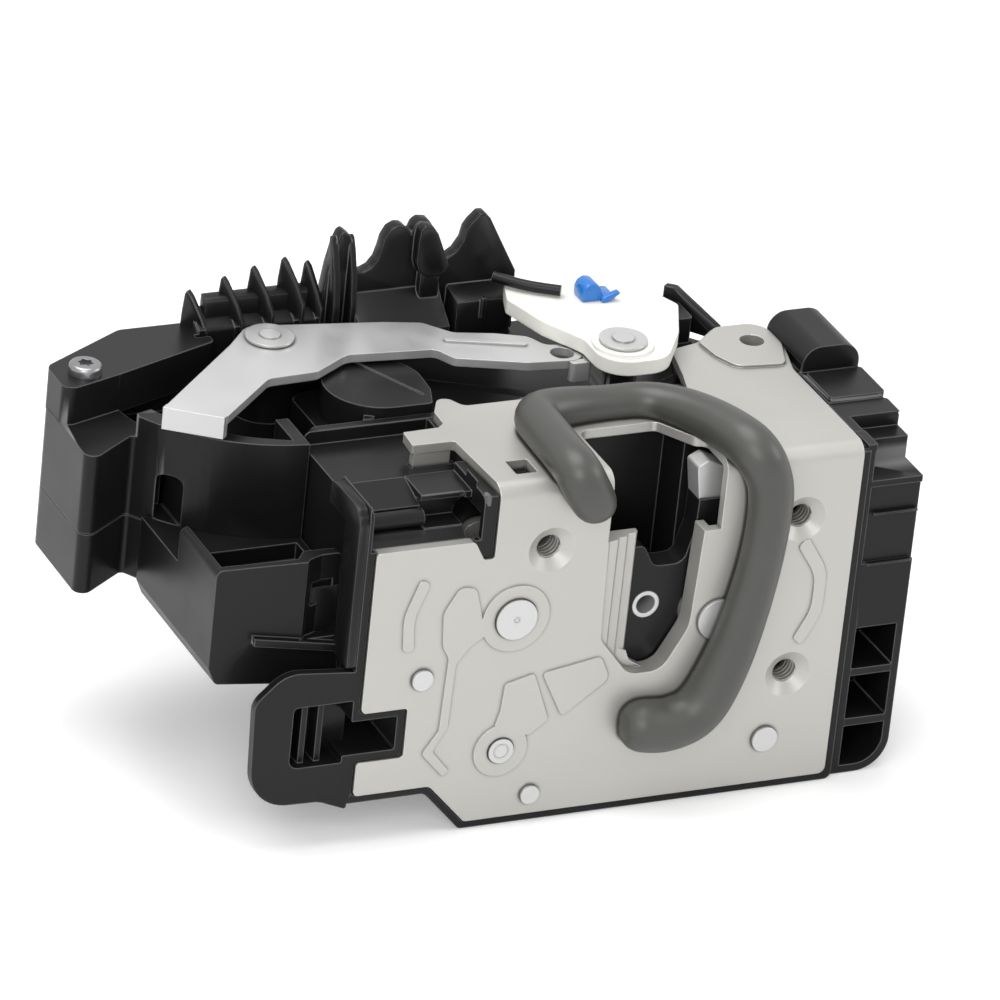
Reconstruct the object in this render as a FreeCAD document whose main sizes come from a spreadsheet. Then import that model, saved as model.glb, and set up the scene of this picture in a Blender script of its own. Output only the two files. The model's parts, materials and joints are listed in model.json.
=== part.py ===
import FreeCAD, Part
import math
import os
from types import SimpleNamespace

# Door latch actuator, in millimetres.
# X runs right along the latch plate, Y runs back into the latch and Z runs up.
# The origin is the axis of the upper left fixing thread, on the plate's front face.

doc = FreeCAD.newDocument("door_latch_actuator")
V = FreeCAD.Vector

# Driving dimensions
SIZES = {
    # latch plate
    "plate_thick": 2.0,
    "plate_left": 37.0,
    "plate_right": 65.7,
    "plate_low": 58.4,
    "shelf_left": 3.7,
    "neck_left": 12.0,
    "flange_high": 15.0,
    "flange_deep": 33.5,
    "bend_radius": 3.0,
    "pitch_across": 53.9,
    "pitch_down": 34.6,
    "lower_hole_shift": 0.8,
    "thread_radius": 2.5,
    "collar_radius": 4.6,
    "collar_long": 5.0,
    "dimple_radius": 4.9,
    "dimple_deep": 1.6,
    "ear_reach": 53.0,
    "ear_hole_radius": 2.5,
    # fishmouth
    "mouth_left": 12.0,
    "mouth_right": 33.0,
    "mouth_low": 30.0,
    "mouth_back": 18.5,
    "lip_deep": 4.5,
    "lip_wall": 1.6,
    "lip_slant": 7.8,
    "emboss_high": 0.3,
    "ear_lift": 0.6,
    "channel_back": 22.0,
    # rubber buffer
    "rubber_radius": 4.4,
    "rubber_lift": 3.0,
    "rubber_end_radius": 4.9,
    # plastic frame behind the plate
    "rim_wide": 1.8,
    "rim_front": 0.6,
    "seat_gap": 0.25,
    "wall": 2.4,
    "frame_back": 34.0,
    "grip_deep": 7.0,
    "mech_front": 5.4,
    "mech_thick": 5.0,
    "mech_gap": 0.6,
    "claw_nose_ring": 25.9,
    "back_plate_thick": 2.0,
    # pivots
    "pawl_x": -6.2,
    "pawl_z": -14.1,
    "claw_x": 37.6,
    "claw_z": -19.8,
    "pivot_radius": 4.0,
    "run_gap": 0.06,
    # actuator housing
    "case_left": 80.0,
    "wing_high": 16.0,
    "rise_front": 72.3,
    "case_gap": 0.6,
    "case_back": 78.0,
    "case_low": 22.0,
    "box_left": -66.5,
    "box_front": 8.0,
    "deck_high": 8.0,
    "split_high": -9.0,
    "drum_radius": 35.6,
    "drum_high": 12.5,
    "lever_x": -33.7,
    "lever_y": 64.6,
    "lever_level": 17.6,
    "lever_thick": 1.8,
    "cap_x": -18.5,
    "cap_y": 46.7,
    "cap_radius": 10.6,
    "cap_high": 15.0,
    # white lever
    "white_x": 30.8,
    "white_y": 36.4,
    "white_level": 18.0,
    "white_thick": 3.0,
    # right hand housing
    "side_right": 80.4,
    "side_back": 44.0,
}
sheet = doc.addObject("Spreadsheet::Sheet", "dims")
for row, (alias, size) in enumerate(SIZES.items(), start=1):
    sheet.set(f"A{row}", alias)
    sheet.set(f"B{row}", str(size))
    sheet.setAlias(f"B{row}", alias)
doc.recompute()
d = SimpleNamespace(**{alias: float(sheet.get(alias)) for alias in SIZES})


# Outlines: a corner is (x, y) or (x, y, radius)
def outline_edges(corners):
    """Lines and tangent arcs round a closed outline, as Part geometry in the sketch plane."""
    points = [V(c[0], c[1], 0) for c in corners]
    count = len(corners)
    starts, ends, arcs = [], [], []
    for i, corner in enumerate(corners):
        here, before, after = points[i], points[i - 1], points[(i + 1) % count]
        radius = corner[2] if len(corner) > 2 else 0
        if radius <= 0:
            starts.append(here)
            ends.append(here)
            arcs.append(None)
            continue
        back = (before - here).normalize()
        ahead = (after - here).normalize()
        half = back.getAngle(ahead) / 2
        reach = radius / math.tan(half)
        middle = (back + ahead).normalize()
        centre = here + middle * (radius / math.sin(half))
        first, last = here + back * reach, here + ahead * reach
        arcs.append(Part.Arc(first, centre - middle * radius, last))
        starts.append(first)
        ends.append(last)
    edges = []
    for i in range(count):
        if arcs[i]:
            edges.append(arcs[i])
        following = starts[(i + 1) % count]
        if ends[i].distanceToPoint(following) > 1e-6:
            edges.append(Part.LineSegment(ends[i], following))
    return edges


def ring_edges(x, y, radius):
    return [Part.Circle(V(x, y, 0), V(0, 0, 1), radius)]


def band_edges(x, y, inner, outer, first, last):
    """A curved band between two radii and two angles in degrees."""
    def at(radius, angle):
        turn = math.radians(angle)
        return V(x + radius * math.cos(turn), y + radius * math.sin(turn), 0)
    middle = (first + last) / 2
    return [
        Part.Arc(at(outer, first), at(outer, middle), at(outer, last)),
        Part.LineSegment(at(outer, last), at(inner, last)),
        Part.Arc(at(inner, last), at(inner, middle), at(inner, first)),
        Part.LineSegment(at(inner, first), at(outer, first)),
    ]


def box_corners(x0, x1, y0, y1, radius=0):
    return [(x0, y0, radius), (x1, y0, radius), (x1, y1, radius), (x0, y1, radius)]


# Bodies: PLANES gives each plane's sign along its own axis
PLANES = {"XY_Plane": 1, "XZ_Plane": -1, "YZ_Plane": 1}
bodies = {}


def new_body(label):
    body = doc.addObject("PartDesign::Body", label)
    body.Label = label
    bodies[label] = body
    return body


def sketch_on(body, name, plane, start, edges):
    """A sketch on one of the body's origin planes, moved to the start distance along its axis."""
    sketch = body.newObject("Sketcher::SketchObject", name)
    origin = [f for f in body.Origin.OriginFeatures if f.Role == plane][0]
    sketch.AttachmentSupport = (origin, [""])
    sketch.MapMode = "FlatFace"
    sign = "" if PLANES[plane] > 0 else "-"
    sketch.setExpression("AttachmentOffset.Base.z", f"{sign}1 mm * ({start})")
    sketch.addGeometry(edges, False)
    return sketch


def pad(body, name, plane, start, depth, edges):
    """Adds material from start, towards the plane's positive axis, by depth."""
    sketch = sketch_on(body, f"{name}_sketch", plane, start, edges)
    feature = body.newObject("PartDesign::Pad", name)
    feature.Profile = sketch
    feature.setExpression("Length", f"1 mm * ({depth})")
    feature.Reversed = PLANES[plane] < 0
    body.Tip = feature
    doc.recompute()
    return feature


def pocket(body, name, plane, start, depth, edges):
    """Removes material from start, towards the plane's positive axis, by depth."""
    before = body.Shape.Volume
    sketch = sketch_on(body, f"{name}_sketch", plane, start, edges)
    feature = body.newObject("PartDesign::Pocket", name)
    feature.Profile = sketch
    feature.setExpression("Length", f"1 mm * ({depth})")
    feature.Reversed = PLANES[plane] > 0
    body.Tip = feature
    doc.recompute()
    if body.Shape.Volume > before - 1e-3:
        raise RuntimeError(f"{name} removes nothing from {body.Label}")
    return feature


def turned(body, name, kind, plane, edges, axis):
    """Revolves a closed profile about a sketch axis: kind is Revolution or Groove."""
    sketch = sketch_on(body, f"{name}_sketch", plane, "0", edges)
    feature = body.newObject(f"PartDesign::{kind}", name)
    feature.Profile = sketch
    feature.ReferenceAxis = (sketch, [axis])
    feature.Angle = 360
    body.Tip = feature
    doc.recompute()
    return feature


def round_edges(body, name, radius, chosen, kind="Fillet"):
    """Fillets or chamfers the edges of the body whose middle point the test accepts."""
    base = body.Tip
    names = []
    for number, edge in enumerate(base.Shape.Edges, start=1):
        middle = edge.valueAt((edge.FirstParameter + edge.LastParameter) / 2)
        if chosen(edge, middle):
            names.append(f"Edge{number}")
    feature = body.newObject(f"PartDesign::{kind}", name)
    feature.Base = (base, names)
    side = "Radius" if kind == "Fillet" else "Size"
    feature.setExpression(side, f"1 mm * ({radius})")
    body.Tip = feature
    doc.recompute()
    return feature


def solid_part(label, shape):
    """A sub-part whose form is one run of solid operations."""
    feature = doc.addObject("Part::Feature", label)
    feature.Label = label
    feature.Shape = shape
    bodies[label] = feature
    return feature


# Rivets: x, z, radius of the shank; heads are wider
PIVOTS = {"pawl": (d.pawl_x, d.pawl_z), "claw": (d.claw_x, d.claw_z)}
RIVET_HEAD, RIVET_PROUD = 4.3, 0.9
SMALL_RIVETS = [(-24.9, -25.1, 2.2), (0.8, -54.0, 2.0), (51.1, -48.5, 2.7)]
LATCH_ARM_PIVOT = (-6.5, -43.2)
RIVET_HOLES = (
    [(x, z, d.pivot_radius * 0.75) for x, z in PIVOTS.values()]
    + [(x, z, radius * 0.75) for x, z, radius in SMALL_RIVETS]
    + [(*LATCH_ARM_PIVOT, 2.0)]
)


# Latch plate: one stamping with a folded flange, a lipped fishmouth and drawn threads
HOLES = [
    (0.0, 0.0),
    (d.pitch_across, 0.0),
    (d.pitch_across + d.lower_hole_shift, -d.pitch_down),
]
NOTCH = {"right": -27.2, "high": -31.2, "low": -42.1}
FOOT_X, FOOT_Z = -20.9, -49.4


def plate_corners(grow, high):
    """The plate's front outline, grown outwards by a clearance or a rim."""
    left, low = -d.plate_left - grow, -d.plate_low - grow
    foot = grow * 0.4
    return [
        (-d.neck_left - grow, high),
        (-d.neck_left - grow, -0.4 + grow, 0.6),
        (-d.neck_left - 2.2, -0.4 + grow, 0.6),
        (-d.neck_left - 4.4, d.shelf_left + grow, 1.2),
        (left, d.shelf_left + grow, 0.8),
        (left, NOTCH["high"] - grow, 1.2),
        (NOTCH["right"] - grow, NOTCH["high"] - grow, 0.8),
        (NOTCH["right"] - grow, NOTCH["low"] + grow, 0.8),
        (left, NOTCH["low"] + grow, 0.8),
        (left, FOOT_Z - grow, 1.0),
        (FOOT_X - foot, FOOT_Z - grow, 2.0),
        (FOOT_X + 8.2 - foot, low, 1.5),
        (d.plate_right + grow, low, 1.5),
        (d.plate_right + grow, high),
    ]


def flange_corners():
    """The flange from above: tab on the left, screw ear on the right."""
    right, deep = d.plate_right, d.flange_deep
    return [
        (-d.neck_left, 0.5),
        (-13.2, 20.2, 0.6),
        (-22.0, 20.4, 0.4),
        (-21.6, 25.9, 0.4),
        (-14.0, 26.2, 0.6),
        (-12.4, 27.6, 0.8),
        (-12.2, 32.4, 1.0),
        (-8.4, 39.4, 1.9),
        (-5.4, deep, 2.0),
        (7.5, deep, 1.0),
        (9.5, 29.5, 1.0),
        (41.0, 29.5, 2.0),
        (42.8, 35.8, 1.0),
        (45.2, 46.4, 2.0),
        (51.6, 48.0, 2.0),
        (57.4, d.ear_reach, 4.0),
        (68.4, d.ear_reach, 5.0),
        (68.4, 43.0, 5.0),
        (right, 33.0, 4.0),
        (right, 0.5),
    ]


def mouth_corners(grow, high):
    """The fishmouth in the front face, grown outwards by the lip's wall."""
    left = d.mouth_left - grow
    right = d.mouth_right + grow
    low = -d.mouth_low - grow
    return [
        (left, high),
        (left + 0.8, -21.5, 3.0),
        (left + 7.6, low, 4.0),
        (right - 6.4, low, 4.0),
        (right - 1.3, -21.0, 8.0),
        (right, high),
    ]


def ramp_corners():
    """The rolled left side of the fishmouth from above, in three shallow steps."""
    left, deep = d.mouth_left, d.lip_deep
    treads = 3
    corners = [(left - 1.0, d.plate_thick * 0.5), (left + 0.5, 0.3, 0.6)]
    for tread in range(1, treads + 1):
        across = left + 0.5 + (d.lip_slant - 0.5) * tread / treads
        back = 0.3 + (deep - 1.3) * tread / treads
        corners += [(across - 0.5, back - 0.7), (across, back)]
    return corners + [(left + d.lip_slant, deep), (left - 1.0, deep)]


def flange_mouth_corners():
    return [
        (d.mouth_left, -1),
        (d.mouth_left, d.mouth_back, 2.5),
        (d.mouth_right - 4.0, d.mouth_back, 1.5),
        (d.mouth_right + 1.0, d.mouth_back - 8.0, 2.5),
        (d.mouth_right + 3.2, d.mouth_back - 8.6, 1.5),
        (d.mouth_right + 3.2, -1),
    ]


# Raised panels and ribs pressed in the plate's face
EMBOSSES = {
    "left_rib": [
        (-27.2, -2.8, 0.9), (-25.2, -4.2, 0.9), (-27.9, -11.6, 9.0), (-27.3, -18.6, 0.9),
        (-29.6, -18.4, 0.9), (-30.2, -11.0, 9.0),
    ],
    "right_rib": [
        (53.6, -6.0, 0.8), (55.6, -4.2, 0.8), (60.5, -12.0, 9.0), (60.4, -21.4, 9.0), (56.8, -28.4, 0.8),
        (54.8, -26.4, 0.8), (58.0, -20.4, 8.0), (58.0, -12.8, 8.0),
    ],
    "pawl_rib": [
        (-15.2, -6.4, 2.0), (-18.6, -5.6, 2.0), (-21.8, -11.0, 4.0), (-21.2, -18.4, 3.0), (-19.7, -21.0, 2.0),
        (-20.2, -37.0, 1.0), (-23.4, -41.8, 1.0), (-18.4, -47.4, 0.5), (-17.2, -46.3, 0.5),
        (-21.2, -41.5, 1.0), (-18.4, -36.6, 1.0), (-18.0, -22.6, 2.0), (-15.4, -19.2, 2.0), (-12.4, -17.0, 1.0),
    ],
    "arm_panel": [
        (-7.0, -28.5, 0.8), (-0.9, -26.9, 0.8), (3.2, -37.6, 1.0), (-0.6, -40.6, 1.0), (-8.6, -38.6, 1.5),
        (-7.4, -34.4, 1.0),
    ],
    "middle_panel": [(0.8, -27.1, 0.8), (13.2, -25.0, 1.5), (15.6, -30.2, 2.0), (6.0, -37.4, 0.8)],
}


def bend_edge(y, z):
    def chosen(edge, middle):
        return abs(middle.y - y) < 1e-3 and abs(middle.z - z) < 1e-3 and edge.Length > 20
    return chosen


def latch_plate():
    body = new_body("latch_plate")
    thick = d.plate_thick
    pad(body, "face", "XZ_Plane", "0", "dims.plate_thick", outline_edges(plate_corners(0, d.flange_high)))
    pad(body, "flange", "XY_Plane", "dims.flange_high - dims.plate_thick", "dims.plate_thick",
        outline_edges(flange_corners()))
    round_edges(body, "outer_bend", "dims.bend_radius", bend_edge(0, d.flange_high))
    round_edges(body, "inner_bend", "dims.bend_radius - dims.plate_thick",
                bend_edge(thick, d.flange_high - thick))
    pad(body, "lip", "XZ_Plane", "dims.plate_thick * 0.5", "dims.lip_deep - dims.plate_thick * 0.5",
        outline_edges(mouth_corners(d.lip_wall, 3.0)))
    pocket(body, "mouth", "XZ_Plane", "-1", "dims.lip_deep + 2", outline_edges(mouth_corners(0, 7.0)))
    pad(body, "ramp", "XY_Plane", "-27.5", "30.5", outline_edges(ramp_corners()))
    turn_in = [
        (d.mouth_left + 2.0, -24.0),
        (d.mouth_left + d.lip_slant, -26.0),
        (d.mouth_left + d.lip_slant + 0.8, -28.2, 2.5),
        (d.mouth_right - 8.0, -d.mouth_low - 0.9, 2.0),
        (d.mouth_right - 8.0, -d.mouth_low - 3.0),
        (d.mouth_left + 2.0, -d.mouth_low - 1.0),
    ]
    pad(body, "lip_turn", "XZ_Plane", "dims.lip_deep - 2", "2", outline_edges(turn_in))
    upper = [(d.mouth_left, 6.9), (d.mouth_right + 3.2, 6.9), (d.mouth_right + 3.2, 30), (d.mouth_left, 30)]
    pocket(body, "mouth_top", "XZ_Plane", "-1", "dims.plate_thick + 4", outline_edges(upper))
    pocket(body, "flange_mouth", "XY_Plane", "0", "dims.flange_high + 1",
           outline_edges(flange_mouth_corners()))
    pad(body, "tab_lip", "XY_Plane", "dims.flange_high - 6", "6",
        outline_edges(box_corners(-21.6, -13.8, 20.4, 20.4 + thick * 0.8)))
    pocket(body, "clip_window", "XY_Plane", "dims.flange_high - 4", "5",
           outline_edges(box_corners(-7.0, -2.5, 4.6, 10.0, 0.4)))
    ear_dome = [
        (51.6, 47.4, 2.0), (52.4, 41.2, 3.0), (54.7, 35.8, 3.0), (64.8, 34.6, 2.0),
        (67.8, 43.0, 5.0), (67.8, d.ear_reach - 0.6, 4.4), (57.6, d.ear_reach - 0.6, 3.5),
    ]
    pad(body, "ear_dome", "XY_Plane", "dims.flange_high - 0.1", "dims.ear_lift + 0.1", outline_edges(ear_dome))
    pocket(body, "ear_hole", "XY_Plane", "dims.flange_high - 4", "8", ring_edges(62.4, 45.4, d.ear_hole_radius))
    for name, corners in EMBOSSES.items():
        pad(body, name, "XZ_Plane", "-dims.emboss_high", "dims.emboss_high + 0.2", outline_edges(corners))
    for name, (x, z), outer, inner in (
        ("pawl_ring", PIVOTS["pawl"], 7.15, RIVET_HEAD + 0.2),
        ("arm_ring", LATCH_ARM_PIVOT, 5.7, 2.9),
    ):
        pad(body, name, "XZ_Plane", "-dims.emboss_high", "dims.emboss_high + 0.2",
            ring_edges(x, z, outer) + ring_edges(x, z, inner))
    for number, (x, z) in enumerate(HOLES, start=1):
        pad(body, f"collar_{number}", "XZ_Plane", "dims.plate_thick", "dims.collar_long",
            ring_edges(x, z, d.collar_radius))
        cone = body.newObject("PartDesign::SubtractiveCone", f"dimple_{number}")
        cone.setExpression("Radius1", "1 mm * dims.dimple_radius")
        cone.setExpression("Radius2", "1 mm * dims.thread_radius")
        cone.setExpression("Height", "1 mm * dims.dimple_deep")
        cone.Placement = FreeCAD.Placement(V(x, 0, z), FreeCAD.Rotation(V(0, 0, 1), V(0, 1, 0)))
        body.Tip = cone
        doc.recompute()
        pocket(body, f"thread_{number}", "XZ_Plane", "-1", "dims.collar_long + dims.plate_thick + 2",
               ring_edges(x, z, d.thread_radius))
    for number, (x, z, radius) in enumerate(RIVET_HOLES, start=1):
        pocket(body, f"rivet_hole_{number}", "XZ_Plane", "-1", "dims.plate_thick + 2",
               ring_edges(x, z, radius))
    return body


def buffer_route():
    """The rubber's centre line: up the face left of the mouth, round the flange, down the right."""
    front, top = -d.rubber_lift, d.flange_high + d.rubber_lift
    left = d.mouth_left - 9.0
    across = d.mouth_back + 5.4
    right = d.mouth_right + 4.3
    return [
        (V(left + 5.0, front, top - 9.5), 0),
        (V(left - 0.6, front, top), 5.2),
        (V(left + 0.3, across - 2.5, top), 6.0),
        (V(left + 8.0, across, top), 6.0),
        (V(right - 8.0, across, top), 7.0),
        (V(right, across - 11.0, top), 9.0),
        (V(right + 1.6, front, top), 5.0),
        (V(right + 6.6, front, 4.5), 8.0),
        (V(right + 6.0, front, -6.0), 20.0),
        (V(right + 3.6, front, -22.0), 20.0),
        (V(right - 3.0, front, -40.2), 8.5),
        (V(d.mouth_left + 12.0, front, -40.2), 0),
    ]


def route_wire(route):
    """Straight runs joined by tangent arcs through a list of (point, bend radius)."""
    edges = []
    last = route[0][0]
    for (before, _), (here, radius), (after, _) in zip(route, route[1:], route[2:]):
        back = (before - here).normalize()
        ahead = (after - here).normalize()
        half = back.getAngle(ahead) / 2
        reach = radius / math.tan(half)
        middle = (back + ahead).normalize()
        centre = here + middle * (radius / math.sin(half))
        first = here + back * reach
        edges.append(Part.LineSegment(last, first).toShape())
        last = here + ahead * reach
        edges.append(Part.Arc(first, centre - middle * radius, last).toShape())
    edges.append(Part.LineSegment(last, route[-1][0]).toShape())
    return Part.Wire(edges)


def tube_along(route, radius):
    wire = route_wire(route)
    start = route[0][0]
    direction = (route[1][0] - start).normalize()
    section = Part.Wire([Part.Circle(start, direction, radius).toShape()])
    return wire.makePipeShell([section], True, True)


def rubber_buffer():
    route = buffer_route()
    tube = tube_along(route, d.rubber_radius)
    for end in (route[0][0], route[-1][0]):
        tube = tube.fuse(Part.makeSphere(d.rubber_end_radius, end))
    metal = Part.makeBox(160, 80, 120, V(-60, 0, d.flange_high - 120))
    bend = [e for e in metal.Edges
            if abs(e.valueAt(e.FirstParameter).y) < 1e-6 and abs(e.valueAt(e.LastParameter).y) < 1e-6
            and abs(e.CenterOfMass.z - d.flange_high) < 1e-6]
    metal = metal.makeFillet(d.bend_radius, bend)
    x, z = PIVOTS["claw"]
    recess = Part.makeCylinder(RIVET_HEAD + 0.3, RIVET_PROUD + 0.3, V(x, -RIVET_PROUD - 0.3, z), V(0, 1, 0))
    return solid_part("rubber_buffer", tube.cut(metal).cut(recess))


# Steel back plate and the rivets that tie it to the latch plate
BACK_FRONT = d.mech_front + d.mech_thick + d.mech_gap
BACK_END = BACK_FRONT + d.back_plate_thick
BACK_START = "dims.mech_front + dims.mech_thick + dims.mech_gap"


def back_plate():
    body = new_body("back_plate")
    corners = [
        (-15.0, 2.0, 5.0),
        (-15.0, -48.0, 5.0),
        (38.0, -48.0, 6.0),
        (60.0, -30.0, 6.0),
        (48.0, 2.0, 5.0),
        (36.0, 2.0, 1.0),
        (36.0, -33.5, 3.0),
        (11.0, -33.5, 3.0),
        (11.0, 2.0, 1.0),
    ]
    pad(body, "blank", "XZ_Plane", BACK_START, "dims.back_plate_thick", outline_edges(corners))
    holes = list(PIVOTS.values()) + [LATCH_ARM_PIVOT]
    for number, (x, z) in enumerate(holes, start=1):
        pocket(body, f"rivet_hole_{number}", "XZ_Plane", f"{BACK_START} - 1",
               "dims.back_plate_thick + 2", ring_edges(x, z, 2.6))
    return body


def lathe(label, x, z, steps):
    """A turned pin along Y: steps are (y, radius) pairs, each radius running to the next y."""
    body = new_body(label)
    points = [V(0, steps[0][0], 0)]
    for (y, radius), (after, _) in zip(steps, steps[1:]):
        points += [V(radius, y, 0), V(radius, after, 0)]
    points.append(V(0, steps[-1][0], 0))
    edges = [Part.LineSegment(a, b) for a, b in zip(points, points[1:] + points[:1])
             if a.distanceToPoint(b) > 1e-6]
    turned(body, "turned_form", "Revolution", "XY_Plane", edges, "V_Axis")
    body.Placement = FreeCAD.Placement(V(x, 0, z), FreeCAD.Rotation())
    return body


def pivot_rivet(label, x, z, head, shoulder):
    gap = d.run_gap
    neck = d.pivot_radius * 0.75 - gap
    return lathe(label, x, z, [
        (-RIVET_PROUD, head),
        (0.0, neck),
        (d.plate_thick, shoulder),
        (BACK_FRONT, 2.5),
        (BACK_END, 2.5),
        (BACK_END + 4.5, 0),
    ])


def face_rivets():
    """The three small rivets that close the plate's edge onto the plastic frame."""
    shapes = []
    for x, z, radius in SMALL_RIVETS:
        head = Part.makeCylinder(radius, 0.8, V(x, -0.8, z), V(0, 1, 0))
        shank = Part.makeCylinder(radius * 0.75 - d.run_gap, 7.8, V(x, -0.4, z), V(0, 1, 0))
        shapes.append(head.fuse(shank).removeSplitter())
    return solid_part("face_rivets", Part.makeCompound(shapes))


# Plastic frame: the block behind the plate, with the rim and the left hand grip bracket
FRAME_HIGH = d.flange_high - d.plate_thick
WINDOW = {"left": -51.0, "high": -28.4, "low": -41.8}


def frame_corners(grow):
    """The block's outline: the plate's outline and rim, with a square shoulder over the shelf."""
    corners = plate_corners(grow, FRAME_HIGH)
    left = -d.plate_left - grow
    return [(left, FRAME_HIGH, 1.5)] + corners[5:-1] + [(d.plate_right + grow, FRAME_HIGH)]


def latch_frame():
    body = new_body("latch_frame")
    rim = d.rim_wide
    deep = "dims.frame_back - dims.rim_front"
    pad(body, "block", "XZ_Plane", "dims.rim_front", deep, outline_edges(frame_corners(rim)))
    bracket = [
        (-d.plate_left + 4.0, -22.6, 0),
        (-53.2, -20.6, 7.0),
        (-59.4, -26.5, 4.0),
        (-58.6, -49.5, 8.5),
        (-44.0, -49.9, 6.0),
        (-d.plate_left - 1.0, -52.4, 0.5),
        (-d.plate_left - 1.0, WINDOW["low"] - 0.4, 0),
        (-d.plate_left + 4.0, WINDOW["low"] - 0.4, 0),
    ]
    pad(body, "grip", "XZ_Plane", "dims.rim_front", "dims.grip_deep", outline_edges(bracket))
    window = [
        (WINDOW["left"], WINDOW["high"], 1.0),
        (-d.plate_left - 1.6, WINDOW["high"], 0.5),
        (-d.plate_left - 1.6, NOTCH["high"] - rim, 0.3),
        (NOTCH["right"] - rim, NOTCH["high"] - rim, 0.4),
        (NOTCH["right"] - rim, NOTCH["low"] + rim, 0.4),
        (-d.plate_left - 3.0, NOTCH["low"] + rim, 0.3),
        (-d.plate_left - 3.0, WINDOW["low"], 0.3),
        (WINDOW["left"], WINDOW["low"], 2.0),
    ]
    pocket(body, "grip_window", "XZ_Plane", "-1", "dims.frame_back + 2", outline_edges(window))
    for number, x in enumerate((-48.4, -45.0), start=1):
        pad(body, f"window_rib_{number}", "XZ_Plane", "dims.rim_front + 2", "dims.grip_deep - 2",
            outline_edges(box_corners(x, x + 1.2, WINDOW["low"] - 0.5, WINDOW["high"] + 0.5)))
    pocket(body, "plate_seat", "XZ_Plane", "-1", "dims.plate_thick + 1",
           outline_edges(plate_corners(d.seat_gap, FRAME_HIGH + 1)))
    shoulder = [
        (d.rim_front - 1, FRAME_HIGH + 2), (d.rim_front - 1, FRAME_HIGH - 3.0), (d.rim_front, FRAME_HIGH - 3.0),
        (d.rim_front, FRAME_HIGH, 2.2), (d.rim_front + 3.4, FRAME_HIGH), (d.rim_front + 3.4, FRAME_HIGH + 2),
    ]
    pocket(body, "shoulder", "YZ_Plane", "-dims.plate_left - dims.rim_wide - 1", "26", outline_edges(shoulder))
    # room for the plate's inner bend and for the tab's folded lip
    bend = [(d.plate_thick - 0.1, FRAME_HIGH + 0.1), (d.plate_thick + 1.3, FRAME_HIGH + 0.1),
            (d.plate_thick - 0.1, FRAME_HIGH - 1.3)]
    pocket(body, "bend_relief", "YZ_Plane", "-dims.neck_left - dims.seat_gap", "100", outline_edges(bend))
    pocket(body, "tab_slot", "XY_Plane", "dims.flange_high - 6.4", "6",
           outline_edges(box_corners(-21.9, -13.5, 20.1, 20.4 + d.plate_thick * 0.8 + 0.3)))
    # hollow for the claw and the pawl, open to the top at the fishmouth
    hollow = [
        (-17.5, 9.0, 3.0),
        (-17.5, -49.4, 4.0),
        (40.0, -49.4, 5.0),
        (62.5, -38.0, 5.0),
        (62.5, 9.0, 3.0),
    ]
    mechanism_deep = f"{BACK_START} + dims.back_plate_thick - dims.plate_thick + 0.01"
    pocket(body, "mechanism_hollow", "XZ_Plane", "dims.plate_thick", mechanism_deep,
           outline_edges(hollow))
    pocket(body, "mouth_way", "XZ_Plane", "-1", f"{BACK_START} + dims.back_plate_thick + 1.01",
           outline_edges(box_corners(8.0, 42.5, 0, FRAME_HIGH + 3, 0)))
    channel = [
        (13.0, FRAME_HIGH + 3),
        (13.0, -32.0, 5.0),
        (32.9, -32.0, 5.0),
        (32.9, FRAME_HIGH + 3),
    ]
    pocket(body, "channel", "XZ_Plane", "dims.plate_thick", "dims.channel_back - dims.plate_thick",
           outline_edges(channel))
    # round wells for the two coil springs and holes for the rivets' tails
    for name, (x, z) in PIVOTS.items():
        pocket(body, f"{name}_spring_well", "XZ_Plane", "dims.plate_thick",
               "19 - dims.plate_thick", ring_edges(x, z, SPRING_RADIUS + 0.8))
    pocket(body, "arm_rivet_well", "XZ_Plane", "dims.plate_thick", "19 - dims.plate_thick",
           ring_edges(*LATCH_ARM_PIVOT, 4.0))
    for number, (x, z, radius) in enumerate(SMALL_RIVETS, start=1):
        pocket(body, f"face_rivet_hole_{number}", "XZ_Plane", "-1", "9.2",
               ring_edges(x, z, radius * 0.75))
    # hollows from behind, on both sides of the channel and below it
    rear = "dims.frame_back - 21 + 1"
    for name, corners in {
        "rear_left": [(-34.0, 9.6, 2), (-34.0, -26.0, 2), (-24.0, -26.0, 1), (-24.0, -46.0, 2),
                      (10.0, -55.0, 2), (10.0, 9.6, 2)],
        "rear_right": [(37.5, 9.6, 2), (37.5, -55.0, 2), (64.6, -55.0, 2), (64.6, 9.6, 2)],
        "rear_low": [(12.4, -35.0, 2), (12.4, -55.0, 2), (35.1, -55.0, 2), (35.1, -35.0, 2)],
    }.items():
        pocket(body, name, "XZ_Plane", "21", rear, outline_edges(corners))
    # trough over the plate's left shelf: a round bar with a recess above it and a window
    pocket(body, "trough", "XZ_Plane", "-1", "5.4", outline_edges(box_corners(-36.0, -15.4, 5.4, 11.6, 0.5)))
    pocket(body, "trough_window", "XZ_Plane", "-1", "8.4",
           outline_edges(box_corners(-26.5, -16.4, 5.6, 11.2, 0.5)))
    pad(body, "trough_bar", "YZ_Plane", "-36.5", "11", ring_edges(3.2, 6.9, 1.7))
    pad(body, "trough_cap", "XZ_Plane", "5", "5", outline_edges(box_corners(-25.4, -14.6, 12.9, 14.3, 0.3)))
    return body


def frame_cover():
    """The flat lid that closes the frame's rear hollows below the actuator case."""
    body = new_body("frame_cover")
    corners = frame_corners(0)
    pad(body, "lid", "XZ_Plane", "dims.frame_back", "1.8", outline_edges(corners))
    for number, z in enumerate((-50.0, -40.0, -30.0), start=1):
        pad(body, f"stiffener_{number}", "XZ_Plane", "dims.frame_back + 1.7", "2.2",
            outline_edges(box_corners(-18.0, 60.0, z - 0.8, z + 0.8)))
    return body


# Claw, pawl and release arm, between the two plates
MECH = "dims.mech_front"
THICK = "dims.mech_thick"
SPRING_RADIUS = 3.4


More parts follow.
